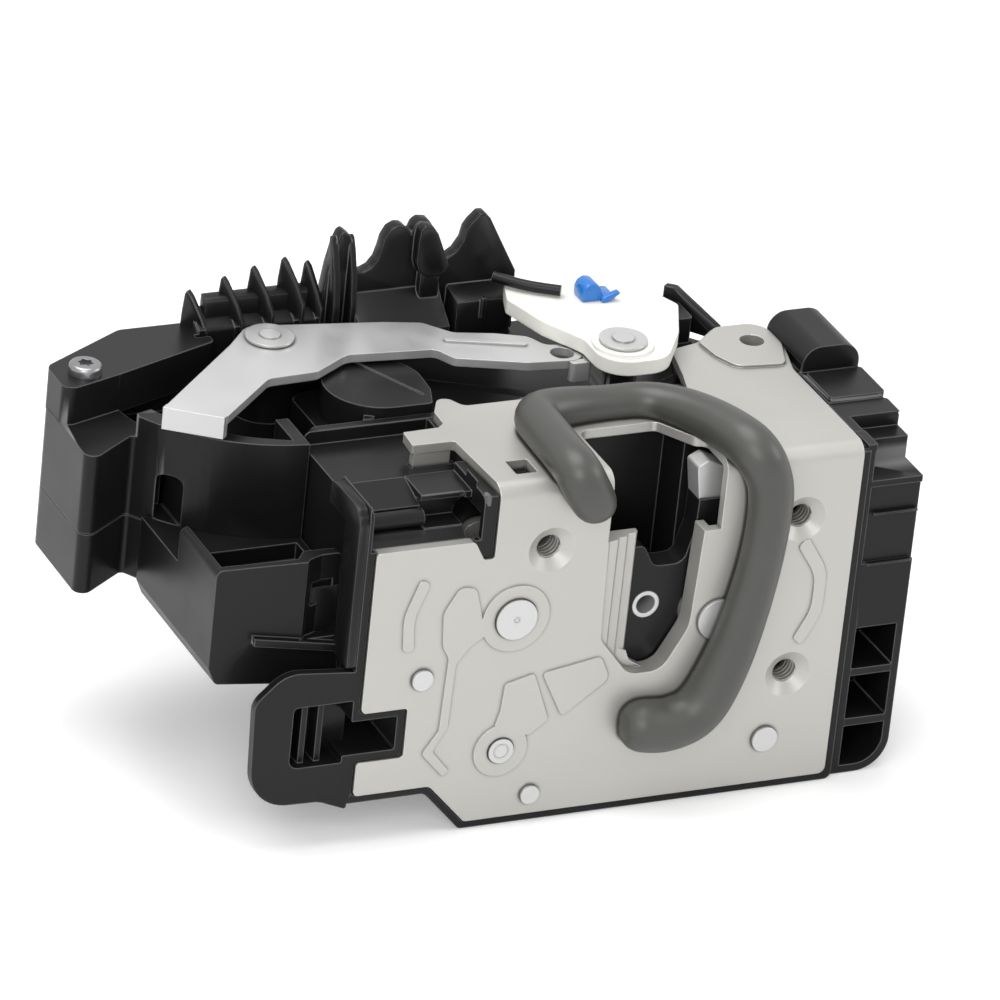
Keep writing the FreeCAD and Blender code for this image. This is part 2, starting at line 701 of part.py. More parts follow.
def about_pivot(pivot, polar):
    """Corners given as (radius, angle in degrees, corner radius) about a pivot."""
    x, z = PIVOTS[pivot]
    corners = []
    for reach, angle, bend in polar:
        turn = math.radians(angle)
        corners.append((x + reach * math.cos(turn), z + reach * math.sin(turn), bend))
    return corners


CLAW_OUTLINE = [
    (32.4, 11.2, 0.8),
    (34.8, 12.4, 0.8),
    (38.7, 10.6, 1.5),
    (40.4, 5.6, 2.0),
    (46.6, -7.0, 6.0),
    (51.5, -14.0, 8.0),
    (50.5, -30.0, 9.0),
    (38.0, -37.0, 8.0),
    (22.0, -37.4, 6.0),
    (14.6, -26.0, 5.0),
    (14.6, -14.0, 5.0),
    (18.4, -4.6, 1.8),
    (22.6, -4.6, 1.5),
    (25.0, -9.4, 2.5),
    (31.4, -9.4, 2.5),
    (33.2, -2.0, 2.0),
    (33.4, 4.4, 1.0),
]
SKIN, SKIN_FRONT = 1.3, 0.4
CLAW_PIN = (24.1, -17.5)
CLAW_PIN_RADIUS = 2.85
TIP_BARE = 24.0


def claw_shape(grow):
    """The claw's outline as a face in the XZ plane, grown by the jacket's wall."""
    wire = Part.Wire([e.toShape() for e in outline_edges(CLAW_OUTLINE)])
    if grow:
        wire = wire.makeOffset2D(grow, 0, False, False, True)
    face = Part.Face(wire)
    face.rotate(V(0, 0, 0), V(1, 0, 0), 90)
    return face


def claw_parts():
    """Hardened claw with its moulded jacket, which leaves the tip bare."""
    x, z = PIVOTS["claw"]
    front, thick = d.mech_front, d.mech_thick
    core = claw_shape(-SKIN)
    core.translate(V(0, front, 0))
    core = core.extrude(V(0, thick, 0))
    jacket = claw_shape(0)
    jacket.translate(V(0, front - SKIN_FRONT, 0))
    jacket = jacket.extrude(V(0, thick + SKIN_FRONT, 0))
    bare = Part.makeBox(40, thick + 4, 30, V(x - 20, front - 2, z + TIP_BARE))
    behind = Part.makeBox(80, thick, 80, V(x - 40, front, z - 40))
    tip = jacket.common(bare).common(behind)
    hub = Part.makeCylinder(d.pivot_radius + 2.2, SKIN_FRONT + 0.1, V(x, front - SKIN_FRONT - 0.1, z), V(0, 1, 0))
    jacket = jacket.cut(core).cut(bare).cut(hub)
    px, pz = CLAW_PIN
    pin_hole = Part.makeCylinder(CLAW_PIN_RADIUS + d.run_gap, thick + 4, V(px, front - 2, pz), V(0, 1, 0))
    hole = Part.makeCylinder(d.pivot_radius + d.run_gap, thick + 2, V(x, front - 1, z), V(0, 1, 0))
    solid_part("claw", core.fuse(tip).removeSplitter().cut(hole).cut(pin_hole))
    solid_part("claw_jacket", jacket.cut(pin_hole))


def pawl():
    body = new_body("pawl")
    x, z = PIVOTS["pawl"]
    neck, nose = about_pivot("claw", [
        (d.claw_nose_ring + 1.1, 196.0, 4.0),
        (d.claw_nose_ring + 0.8, 224.0, 0.8),
    ])
    outline = [
        (x - 8.4, z + 8.4, 8.2),
        (x + 8.2, z + 8.0, 7.0),
        neck,
        nose,
        (nose[0] - 3.2, nose[1] - 3.0, 1.2),
        (nose[0] - 12.4, nose[1] + 0.3, 4.0),
        (x + 3.0, z - 11.0, 6.0),
        (x - 8.4, z - 8.4, 6.0),
    ]
    pad(body, "blank", "XZ_Plane", MECH, THICK, outline_edges(outline))
    pocket(body, "pivot_hole", "XZ_Plane", f"{MECH} - 1", f"{THICK} + 2",
           ring_edges(x, z, d.pivot_radius + d.run_gap))
    return body


def release_arm():
    """The small arm below the pawl that lifts it when a handle is pulled."""
    body = new_body("release_arm")
    x, z = LATCH_ARM_PIVOT
    outline = [
        (x - 5.4, z + 5.0, 5.0),
        (x - 7.5, z + 14.5, 1.6),
        (x - 2.5, z + 15.5, 1.6),
        (x + 5.4, z + 5.0, 5.0),
        (x + 5.4, z - 5.2, 5.0),
        (x - 5.4, z - 5.2, 5.0),
    ]
    pad(body, "blank", "XZ_Plane", MECH, "3", outline_edges(outline))
    pocket(body, "pivot_hole", "XZ_Plane", f"{MECH} - 1", "5", ring_edges(x, z, 3.0 + d.run_gap))
    return body


def coil_spring(label, pivot, legs):
    """A torsion spring round a rivet's tail, in its well behind the back plate."""
    x, z = PIVOTS[pivot]
    wire, turns = 0.5, 3
    pitch = wire * 2.3
    front = BACK_END + 1.0
    helix = Part.makeHelix(pitch, pitch * turns, SPRING_RADIUS)
    section = Part.Wire([Part.Circle(V(SPRING_RADIUS, 0, 0), V(0, 1, 0), wire).toShape()])
    coil = Part.Wire(helix.Edges).makePipeShell([section], True, True)
    coil.rotate(V(0, 0, 0), V(1, 0, 0), -90)
    coil.rotate(V(0, 0, 0), V(0, 1, 0), legs)
    coil.translate(V(x, front, z))
    return solid_part(label, coil)


# Actuator case behind the frame: lower shell, upper shell with its drum, deck and ribs
CASE_FRONT = d.frame_back + 1.8 + 0.3
DRUM = (d.lever_x, d.lever_y)


def drum_corner(radius, first, last):
    """The corner whose rounding is the drum's arc between two angles in degrees."""
    half = math.radians((last - first) / 2)
    middle = math.radians((first + last) / 2)
    reach = radius / math.cos(half)
    return (DRUM[0] + reach * math.cos(middle), DRUM[1] + reach * math.sin(middle), radius * 0.995)


def case_corners(inset):
    """The case from above: the drum bulges out at the front left."""
    left, back = -d.case_left + inset, d.case_back - inset
    front = CASE_FRONT + inset
    return [
        (left, 41.0 + inset, 2.0),
        (-68.0 + inset, 49.5, 1.0),
        drum_corner(d.drum_radius - inset, 207.0, 262.0),
        (-39.2 - inset, 29.8 + inset * 0.5, 0),
        (-39.2 - inset, front, 0),
        (62.0 - inset, front, 2.0),
        (62.0 - inset, 58.0, 4.0),
        (50.0 - inset, back - 6.0, 4.0),
        (34.0, back, 4.0),
        (-60.0, back, 4.0),
        (left, 66.0, 4.0),
    ]


def case_upper():
    body = new_body("case_upper")
    wall = d.wall
    pad(body, "shell", "XY_Plane", "dims.split_high", "dims.deck_high - dims.split_high",
        outline_edges(case_corners(0)))
    # drum rim, then its sunk floor
    rim = [
        (-39.2, 29.8),
        (-39.2, 42.0),
        (-60.0, 52.0),
        (-68.0, 49.5, 1.0),
        drum_corner(d.drum_radius, 207.0, 262.0),
    ]
    pad(body, "drum_rim", "XY_Plane", "dims.deck_high - 0.01",
        "dims.drum_high - dims.deck_high + 0.01", outline_edges(rim))
    sunk = [
        (-68.1, 68.5, 2.0),
        drum_corner(d.drum_radius - wall, 190.0, 250.0),
        (-41.8, 32.2),
        (-41.8, 41.0),
        (-31.5, 41.0, 1.0),
        (-31.5, 58.5, 3.0),
        (-10.0, 60.5, 2.0),
        (-10.0, 68.5, 2.0),
    ]
    pocket(body, "drum_floor", "XY_Plane", "dims.split_high + 11", "20", outline_edges(sunk))
    pocket(body, "hollow", "XY_Plane", "dims.split_high - 1",
           "dims.deck_high - dims.split_high - dims.wall + 1", outline_edges(
               [(-13.0, CASE_FRONT + wall, 1), (59.6, CASE_FRONT + wall, 2), (59.6, 56, 3),
                (48.0, 68, 3), (33.0, 75.6, 3), (-2.0, 75.6, 3), (-2.0, 70.0, 2), (3.0, 66.0, 2),
                (3.0, 48.0, 3), (-13.0, 41.0, 1)]))
    pocket(body, "drum_hollow", "XY_Plane", "dims.split_high - 1", "10", outline_edges(
        [(-62.0, 50.0, 4), (-40.0, 36.0, 4), (-18.0, 42.0, 2), (1.0, 50.0, 2), (1.0, 66.0, 2),
         (-6.0, 75.6, 2), (-60.0, 75.6, 3), (-66.0, 60.0, 4)]))
    pocket(body, "wing_hollow", "XY_Plane", "dims.split_high - 1", "14", outline_edges(
        [(-d.case_left + wall, 44.5, 2), (-70.5, 50.0, 2), (-70.5, 66.0, 2), (-d.case_left + wall, 63.5, 2)]))
    # window in the drum wall
    pocket(body, "drum_window", "XZ_Plane", "36", "13.5", outline_edges(
        [(-64.5, -7.8, 0.5), (-60.6, -7.8, 0.5), (-60.6, 2.4, 1.6), (-64.5, 2.4, 1.6)]))
    # wing that stands up behind the drum, and the rise that carries the fins
    wing = [
        (-43.6, 68.8, 1.0), (-67.0, 59.8, 3.0), (-d.case_left + 0.1, 55.5, 2.0), (-d.case_left + 0.1, 66.2, 3.0),
        (-60.3, d.case_back - 0.3, 3.0), (-43.6, d.case_back - 0.3, 1.0),
    ]
    pad(body, "wing", "XY_Plane", "dims.deck_high - 0.5", "dims.wing_high - dims.deck_high + 0.5",
        outline_edges(wing))
    rise = [
        (d.rise_front, d.deck_high - 0.5), (d.rise_front, 16.6, 1.0), (d.case_back - 0.3, 19.4, 1.0),
        (d.case_back - 0.3, d.deck_high - 0.5),
    ]
    pad(body, "back_rise", "YZ_Plane", "-45.2", "26", outline_edges(rise))
    # boss for the steel lever's rivet and the wavy rib round it
    pad(body, "lever_boss", "XY_Plane", "dims.split_high + 10", "dims.lever_level - dims.lever_thick "
        "- dims.split_high - 10.5", ring_edges(*DRUM, 6.5))
    pocket(body, "lever_rivet_hole", "XY_Plane", "dims.split_high - 1", "40", ring_edges(*DRUM, 2.6))
    rib = band_edges(*DRUM, 22.8, 24.0, 212.0, 250.0)
    pad(body, "floor_rib", "XY_Plane", "dims.split_high + 10.9", "5", rib)
    for number, (x, tip) in enumerate(FINS, start=1):
        fin = [
            (d.rise_front - 0.9, 12.0),
            (d.rise_front - 0.9, tip - 4.4, 0.8),
            (d.rise_front + 1.6, tip - 1.4, 4.0),
            (d.case_back - 1.4, tip, 0.5),
            (d.case_back - 0.1, tip - 3.4, 2.0),
            (d.case_back - 0.1, 12.0),
        ]
        pad(body, f"fin_{number}", "YZ_Plane", f"{x}", "1.4", outline_edges(fin))
    # white lever's post
    pad(body, "white_post", "XY_Plane", "dims.deck_high - 1", "dims.white_level - dims.deck_high + 0.6",
        ring_edges(d.white_x, d.white_y + 3.2, 3.4))
    return body


FINS = [(-45.4, 22.8), (-37.8, 24.9), (-31.5, 26.5), (-25.2, 27.5), (-20.6, 26.3)]


def case_lower():
    body = new_body("case_lower")
    wall = d.wall
    pad(body, "shell", "XY_Plane", "-dims.case_low", "dims.split_high + dims.case_low - 0.2",
        outline_edges(case_corners(0)))
    hollow = [
        (-d.case_left + wall, 45.0, 2), (-66.0, 53.5, 2), (-40.0, 36.5, 3), (-30.0, CASE_FRONT + wall, 2),
        (59.6, CASE_FRONT + wall, 2), (59.6, 56, 3), (48.0, 68, 3), (33.0, 75.6, 3), (-60.0, 75.6, 3),
        (-d.case_left + wall, 64.0, 3),
    ]
    pocket(body, "hollow", "XY_Plane", "-dims.case_low + dims.wall", "dims.case_low",
           outline_edges(hollow))
    # corner box that comes forward under the drum
    box = [
        (d.box_left, -0.4, 1.5), (d.box_left, -21.5, 0.6), (d.box_left + 1.6, -25.2, 1.5),
        (-39.4, -28.2, 1.0), (-39.4, -1.0, 1.0),
    ]
    pad(body, "corner_box", "XZ_Plane", "dims.box_front", "45 - dims.box_front", outline_edges(box))
    pocket(body, "drum_relief", "XY_Plane", "dims.split_high - 0.2", "20", outline_edges(case_corners(-0.3)))
    inner = [
        (d.box_left + wall, -12.0), (d.box_left + wall, -23.0), (-41.8, -25.8), (-41.8, -12.0),
    ]
    pocket(body, "corner_hollow", "XZ_Plane", "dims.box_front + dims.wall", "34 - dims.box_front",
           outline_edges(inner))
    rib = [(-58.0, -15.4), (-58.0, -17.0), (-40.0, -20.4), (-40.0, -18.8)]
    pad(body, "corner_rib", "XZ_Plane", "dims.box_front - 1.6", "1.8", outline_edges(rib))
    return body


def gear_cap():
    """Round cap with a squared right side, on the deck in front of the steel lever."""
    body = new_body("gear_cap")
    x, y, r = d.cap_x, d.cap_y, d.cap_radius
    outline = [
        (x - r * 1.0, y + r, r * 0.98),
        (x - r * 1.0, y - r, r * 0.98),
        (x + 7.6, y - r, 1.0),
        (x + r - 1.0, y - 5.0, 1.5),
        (x + r, y + r, r * 0.9),
    ]
    pad(body, "drum", "XY_Plane", "dims.deck_high + 0.01", "dims.cap_high - dims.deck_high",
        outline_edges(outline))
    foot = [(x - 7.0, y - r), (x - 4.8, y - r), (x - 2.5, y - r + 4.0), (x - 4.7, y - r + 4.0)]
    pad(body, "clip_foot", "XY_Plane", "dims.deck_high + 0.01", "5", outline_edges(foot))
    pocket(body, "ridge_line", "XY_Plane", "dims.cap_high - 0.3", "1", outline_edges(
        [(x - 1.0, y + r - 1.2), (x + 7.0, y - 7.0), (x + 7.5, y - 6.7), (x - 0.4, y + r - 1.0)]))
    return body


# Cable rack on the back edge: saddles and the tall hook plate
def cable_rack():
    body = new_body("cable_rack")
    low, back = d.deck_high + 0.02, d.case_back - 4.5
    saddle = [
        (-18.6, low),
        (-17.0, 26.0, 3.0),
        (-14.4, 33.8, 1.4),
        (-11.8, 30.6, 1.5),
        (-10.4, 24.2, 1.6),
        (-7.0, 24.6, 1.8),
        (-5.0, 31.6, 2.0),
        (-2.4, 34.0, 1.6),
        (1.0, 34.6, 1.2),
        (4.8, 34.2, 1.0),
        (6.6, 26.0, 1.4),
        (10.4, 26.2, 1.8),
        (12.2, 30.4, 0.8),
        (13.2, 32.6, 0.6),
        (15.9, 34.9, 1.0),
        (17.6, 33.2, 1.2),
        (24.3, 20.7, 2.0),
        (24.7, low),
    ]
    pad(body, "saddle_plate", "XZ_Plane", f"{back}", "3.6", outline_edges(saddle))
    cheek = [
        (back - 4.9, low), (back - 4.6, 21.0, 2.0), (back - 0.6, 33.4, 0.8), (back + 1.0, 33.4), (back + 1.0, low),
    ]
    pad(body, "cheek", "YZ_Plane", "-15.8", "1.8", outline_edges(cheek))
    tongue = [
        (back - 3.8, 22.6, 1.6), (back - 3.4, 28.0, 2.0), (back - 0.8, 34.0, 0.6), (back + 1.0, 34.0),
        (back + 1.0, 21.2), (back - 2.4, 21.2, 1.0),
    ]
    pad(body, "tongue", "YZ_Plane", "1.2", "3.4", outline_edges(tongue))
    skirt = [
        (back - 2.2, low), (back - 2.2, 16.4, 1.5), (back + 0.4, 19.6, 1.0), (back + 1.0, 19.6), (back + 1.0, low),
    ]
    pad(body, "skirt", "YZ_Plane", "-13.8", "22", outline_edges(skirt))
    shelf = [(9.5, back - 9.0, 1.0), (23.8, back - 9.0, 1.0), (23.8, back + 0.5), (9.5, back + 0.5)]
    pad(body, "shelf", "XY_Plane", "dims.deck_high + 0.02", "8", outline_edges(shelf))
    ridge = [(back - 9.0, 15.9), (back - 9.0, 17.4, 0.4), (back + 0.5, 17.4), (back + 0.5, 15.9)]
    pad(body, "shelf_ridge", "YZ_Plane", "16.4", "1.4", outline_edges(ridge))
    return body


# Levers on the deck
def steel_lever():
    body = new_body("steel_lever")
    top, thick = d.lever_level, d.lever_thick
    outline = [
        (-64.6, 42.4, 0.5),
        (-42.5, 63.6, 3.0),
        (-36.2, 70.6, 4.0),
        (-8.8, 66.0, 4.0),
        (-1.4, 64.0, 2.5),
        (3.0, 58.6, 3.0),
        (11.0, 56.4, 3.0),
        (17.0, 53.6, 3.0),
        (18.8, 49.4, 2.5),
        (24.6, 48.4, 3.5),
        (24.4, 41.6, 3.0),
        (12.6, 43.0, 3.0),
        (-1.2, 48.2, 2.0),
        (-3.4, 52.6, 2.0),
        (-21.6, 54.4, 4.0),
        (-30.0, 49.0, 3.0),
        (-40.6, 48.4, 3.0),
        (-54.6, 35.4, 0.5),
    ]
    pad(body, "blank", "XY_Plane", "dims.lever_level - dims.lever_thick", "dims.lever_thick",
        outline_edges(outline))
    lip = [(-65.4, 41.9), (-64.2, 43.0), (-54.2, 36.0), (-55.4, 34.9)]
    pad(body, "folded_lip", "XY_Plane", "dims.drum_high + 0.4", "dims.lever_level - dims.drum_high - 0.4",
        outline_edges(lip))
    hook = [(24.2, 45.0), (25.6, 45.0), (25.2, 40.6, 1.0), (20.8, 40.6, 1.0), (20.8, 42.2), (24.0, 42.4)]
    pad(body, "folded_hook", "XY_Plane", "dims.flange_high - 1.6", "dims.lever_level - dims.flange_high + 1.5",
        outline_edges(hook))
    pocket(body, "pivot_hole", "XY_Plane", "0", "30", ring_edges(*DRUM, 3.0 + d.run_gap))
    pocket(body, "rod_hole", "XY_Plane", "0", "30", ring_edges(20.7, 45.4, 2.4))
    rib = [(-0.5, 55.0, 0.7), (15.0, 49.4, 0.7), (15.5, 50.8, 0.7), (0.0, 56.4, 0.7)]
    pad(body, "stiff_rib", "XY_Plane", "dims.lever_level - 0.01", "0.5", outline_edges(rib))
    return body


def post_rivet(label, x, y, steps):
    """A turned rivet along Z: steps are (z, radius) pairs."""
    body = new_body(label)
    points = [V(0, steps[0][0], 0)]
    for (z, radius), (after, _) in zip(steps, steps[1:]):
        points += [V(radius, z, 0), V(radius, after, 0)]
    points.append(V(0, steps[-1][0], 0))
    edges = [Part.LineSegment(a, b) for a, b in zip(points, points[1:] + points[:1])
             if a.distanceToPoint(b) > 1e-6]
    turned(body, "turned_form", "Revolution", "XZ_Plane", edges, "V_Axis")
    body.Placement = FreeCAD.Placement(V(x, y, 0), FreeCAD.Rotation())
    return body


def lever_rivet():
    base = d.lever_level - d.lever_thick - 0.5
    return post_rivet("lever_rivet", *DRUM, [
        (2.0, 2.5),
        (base, 3.0),
        (d.lever_level + 0.15, 4.9),
        (d.lever_level + 0.75, 2.1),
        (d.lever_level + 1.1, 0),
    ])


def white_lever():
    body = new_body("white_lever")
    x, y = d.white_x, d.white_y + 3.2
    outline = [
        (x - 6.5, y - 7.4, 6.4),
        (x + 6.5, y - 7.4, 6.4),
        (44.4, 42.5, 2.0),
        (49.4, 53.6, 2.0),
        (46.4, 61.0, 1.5),
        (34.8, 67.2, 2.0),
        (27.6, 67.0, 2.0),
        (19.0, 70.8, 1.0),
        (16.4, 63.4, 1.5),
        (19.4, 52.6, 8.0),
        (x - 6.5, y + 4.0, 4.0),
    ]
    pad(body, "blade", "XY_Plane", "dims.white_level", "dims.white_thick", outline_edges(outline))
    pad(body, "hub", "XY_Plane", "dims.white_level", "dims.white_thick + 0.8",
        ring_edges(x, y, 6.2))
    pocket(body, "pivot_hole", "XY_Plane", "0", "40", ring_edges(x, y, 3.0 + d.run_gap))
    pocket(body, "clip_hole", "XY_Plane", "0", "40", outline_edges(box_corners(31.4, 35.0, 60.2, 63.2)))
    return body


def white_rivet():
    top = d.white_level + d.white_thick + 0.8
    return post_rivet("white_rivet", d.white_x, d.white_y + 3.2, [
        (d.white_level - 0.4, 3.0),
        (top + 0.15, 4.8),
        (top + 0.75, 2.2),
        (top + 1.1, 0),
    ])


def rod_clip():
    """Blue clip that grips the rod's end in the white lever."""
    top = d.white_level + d.white_thick
    body = new_body("rod_clip")
    pad(body, "stem", "XY_Plane", "dims.white_level - 0.6", "dims.white_thick + 0.8",
        outline_edges(box_corners(31.5, 34.9, 60.3, 63.1)))
    pad(body, "saddle", "XY_Plane", "dims.white_level + dims.white_thick + 0.01", "3.4", outline_edges(
        [(30.4, 59.6, 0.6), (37.8, 57.4, 0.6), (38.2, 60.4, 0.6), (34.0, 64.0, 1.0), (30.4, 63.6, 0.6)]))
    return body


def link_rod():
    """The outside handle's rod, which stops short of the clip so that it can slide on its own."""
    level = d.white_level + d.white_thick + 1.4
    route = [
        (V(27.4, 62.0, level), 0),
        (V(21.0, 65.8, level), 30.0),
        (V(16.4, 70.4, level + 0.3), 0),
    ]
    return solid_part("link_rod", tube_along(route, 1.1))


def lock_arm():
    body = new_body("lock_arm")
    outline = [
        (46.0, 44.0, 3.0),
        (52.0, 41.2, 3.0),
        (56.6, 46.0, 2.5),
        (53.7, 54.0, 2.0),
        (53.6, 65.0, 1.0),
        (49.8, 65.0, 1.0),
        (49.6, 54.0, 2.0),
    ]
    pad(body, "blade", "XY_Plane", "dims.deck_high + 0.4", "3.4", outline_edges(outline))
    pad(body, "finger", "XY_Plane", "dims.deck_high + 3.7", "5.6", outline_edges(
        box_corners(50.0, 53.4, 54.2, 64.6, 0.8)))
    pocket(body, "pivot_hole", "XY_Plane", "0", "40", ring_edges(51.5, 46.5, 2.5 + d.run_gap))
    return body


def lock_arm_pin():
    return post_rivet("lock_arm_pin", 51.5, 46.5, [
        (d.deck_high + 0.01, 2.5),
        (d.deck_high + 3.9, 3.8),
        (d.deck_high + 4.6, 0),
    ])


# Lock drive inside the case: motor, worm and wheel
WORM_Y, WORM_Z, WORM_X = 64.5, -8.0, 38.0
WHEEL_TEETH, WORM_PITCH = 24, 2.5
WHEEL_RADIUS = WHEEL_TEETH * WORM_PITCH / (2 * math.pi)
WORM_RADIUS = 3.5
WHEEL_Y = WORM_Y - WHEEL_RADIUS - WORM_RADIUS
MOTOR_START, MOTOR_LONG, MOTOR_RADIUS = 3.4, 24.2, 9.8


def lock_motor():
    """Flat-sided motor can that lies along X, with its bearing boss towards the worm."""
    along = V(1, 0, 0)
    can = Part.makeCylinder(MOTOR_RADIUS, MOTOR_LONG, V(MOTOR_START, WORM_Y, WORM_Z), along)
    flat = MOTOR_RADIUS * 0.8
    can = can.common(Part.makeBox(MOTOR_LONG, 40, 2 * flat, V(MOTOR_START, WORM_Y - 20, WORM_Z - flat)))
    boss = Part.makeCylinder(3.0, 1.2, V(MOTOR_START + MOTOR_LONG, WORM_Y, WORM_Z), along)
    bore = Part.makeCylinder(1.0 + d.run_gap, 8, V(MOTOR_START + MOTOR_LONG - 6, WORM_Y, WORM_Z), along)
    return solid_part("lock_motor", can.fuse(boss).cut(bore).removeSplitter())


def worm_shaft():
    start = MOTOR_START + MOTOR_LONG - 5
    return solid_part("worm_shaft", Part.makeCylinder(1.0, 22.0, V(start, WORM_Y, WORM_Z), V(1, 0, 0)))


def worm():
    """Single-start thread on a sleeve, pressed on the motor's shaft."""
    turns = 4
    root = WORM_RADIUS - 0.9
    begin = WORM_X - 0.75 * WORM_PITCH - 2 * WORM_PITCH + 0.5 * WORM_PITCH
    helix = Part.makeHelix(WORM_PITCH, WORM_PITCH * turns, root - 0.1)
    tooth = Part.makePolygon([
        V(root - 0.1, 0, -0.75), V(WORM_RADIUS + 0.8, 0, -0.3), V(WORM_RADIUS + 0.8, 0, 0.3),
        V(root - 0.1, 0, 0.75), V(root - 0.1, 0, -0.75),
    ])
    thread = Part.Wire(helix.Edges).makePipeShell([tooth], True, True)
    thread.rotate(V(0, 0, 0), V(0, 1, 0), 90)
    thread.rotate(V(0, 0, 0), V(1, 0, 0), 180)
    thread.translate(V(begin, WORM_Y, WORM_Z))
    along = V(1, 0, 0)
    sleeve = Part.makeCylinder(root, 12.5, V(WORM_X - 6.2, WORM_Y, WORM_Z), along)
    bore = Part.makeCylinder(1.0, 14, V(WORM_X - 7, WORM_Y, WORM_Z), along)
    return solid_part("worm", sleeve.fuse(thread).cut(bore))


def worm_wheel():
    body = new_body("worm_wheel")
    tip, root = WHEEL_RADIUS + 0.65, WHEEL_RADIUS - 1.1
    corners = []
    for tooth in range(WHEEL_TEETH):
        centre = math.radians(90.0 + 180.0 / WHEEL_TEETH + 360.0 * tooth / WHEEL_TEETH)
        for reach, half in ((root, -4.1), (tip, -1.5), (tip, 1.5), (root, 4.1)):
            turn = centre + math.radians(half)
            corners.append((WORM_X + reach * math.cos(turn), WHEEL_Y + reach * math.sin(turn)))
    pad(body, "teeth", "XY_Plane", f"{WORM_Z} - 3", "6", outline_edges(corners))
    pad(body, "hub", "XY_Plane", f"{WORM_Z} - 4.5", "9", ring_edges(WORM_X, WHEEL_Y, 4.2))
    pad(body, "drive_pin", "XY_Plane", f"{WORM_Z} + 2.9", "4.6", ring_edges(WORM_X + 6.4, WHEEL_Y, 1.4))
    pocket(body, "bore", "XY_Plane", f"{WORM_Z} - 6", "14", ring_edges(WORM_X, WHEEL_Y, 2.0 + d.run_gap))
    return body


def wheel_axle():
    floor = -d.case_low + d.wall
    return post_rivet("wheel_axle", WORM_X, WHEEL_Y, [
        (floor + 0.01, 3.6),
        (WORM_Z - 4.8, 2.0),
        (WORM_Z + 6.0, 0),
    ])


def motor_cradle():
    """Two ribs that hold the motor off the floor of the lower shell."""
    floor = -d.case_low + d.wall
    high = WORM_Z - MOTOR_RADIUS * 0.8 - 0.05
    shapes = []
    for x in (MOTOR_START + 3, MOTOR_START + 19):
        shapes.append(Part.makeBox(2, 18, high - floor - 0.01, V(x, WORM_Y - 9, floor + 0.01)))
    return solid_part("motor_cradle", Part.makeCompound(shapes))


def circuit_carrier():
    body = new_body("circuit_carrier")
    pad(body, "board", "XY_Plane", "-dims.case_low + dims.wall + 0.01", "1.6", outline_edges(
        [(-58.0, 56.0, 2), (-40.0, 46.0, 2), (-4.0, 46.0, 2), (-4.0, 73.0, 2), (-58.0, 73.0, 2)]))
    for number, (x, y) in enumerate(((-50.0, 66.0), (-30.0, 60.0), (-14.0, 52.0)), start=1):
        pad(body, f"relay_{number}", "XY_Plane", "-dims.case_low + dims.wall + 1.5", "5",
            outline_edges(box_corners(x - 4, x + 4, y - 3, y + 3, 0.4)))
    return body


def micro_switch(label, x, y, z):
    """A sealed switch with its plunger."""
    case = Part.makeBox(12.8, 5.8, 6.5, V(x, y, z))
    plunger = Part.makeCylinder(1.1, 1.4, V(x + 9.2, y + 2.9, z + 6.49), V(0, 0, 1))
    return solid_part(label, case.fuse(plunger).removeSplitter())


# Right hand housing with the electrical socket
SIDE_LEFT = d.plate_right + d.rim_wide
SIDE_LOW = -d.plate_low - d.rim_wide


def side_housing():
    body = new_body("side_housing")
    right = d.side_right
    outline = [
        (SIDE_LEFT, SIDE_LOW),
        (right, SIDE_LOW, 7.0),
        (right, 13.6, 1.5),
        (SIDE_LEFT, 13.6),
    ]
    pad(body, "block", "XZ_Plane", "2", "dims.side_back - 2", outline_edges(outline))
    levels = [(-27.4, -36.6), (-38.2, -47.9), (-49.6, SIDE_LOW + 1.7)]
    for number, (high, low) in enumerate(levels, start=1):
        bend = 5.6 if number == len(levels) else 0.3
        corners = [(SIDE_LEFT + 2.4, low, 0.3), (right - 1.6, low, bend), (right - 1.6, high, 0.3),
                   (SIDE_LEFT + 2.4, high, 0.3)]
        pocket(body, f"front_pocket_{number}", "XZ_Plane", "1", "15", outline_edges(corners))
    pocket(body, "upper_pocket", "XZ_Plane", "1", "9",
           outline_edges(box_corners(SIDE_LEFT + 1.8, right + 2, 5.4, 12.0)))
    pocket(body, "panel_step", "XZ_Plane", "1", "1.6",
           outline_edges(box_corners(SIDE_LEFT + 1.8, right + 2, -13.0, 4.0)))
    for number, (near, far, high) in enumerate(((11.0, 20.4, 16.0), (21.2, 32.4, 18.6)), start=1):
        pad(body, f"top_block_{number}", "XY_Plane", "13", f"{high} - 13",
            outline_edges(box_corners(SIDE_LEFT + 0.8, right, near, far, 0.8)))
    shroud = [(SIDE_LEFT + 0.4, 2.0, 1.0), (right, 2.0, 1.0), (right, 19.0, 4.0), (SIDE_LEFT + 0.4, 19.0, 4.0)]
    pad(body, "socket_shroud", "XZ_Plane", "33.5", "dims.side_back + 6 - 33.5", outline_edges(shroud))
    pocket(body, "socket_mouth", "XZ_Plane", "38", "20",
           outline_edges(box_corners(SIDE_LEFT + 2.2, right - 1.6, 4.0, 17.2, 1.0)))
    pocket(body, "ear_relief", "XY_Plane", "dims.flange_high - dims.plate_thick - 0.3",
           "dims.plate_thick + 0.6", outline_edges(box_corners(SIDE_LEFT - 1, SIDE_LEFT + 1.3, 34.0, 54.0)))
    pocket(body, "rear_hollow", "XZ_Plane", "20", "40",
           outline_edges(box_corners(SIDE_LEFT + 2.0, right - 2.0, -57.0, 0.0, 2.0)))
    return body


def connector_pins():
    """Two rows of square blade contacts that stand on the socket's floor."""
    shapes = []
    for row in range(2):
        for place in range(4):
            x = SIDE_LEFT + 4.2 + place * 1.9
            shapes.append(Part.makeBox(0.7, 8.0, 0.7, V(x, 38.0, 8.0 + row * 4.5)))
    return solid_part("connector_pins", Part.makeCompound(shapes))


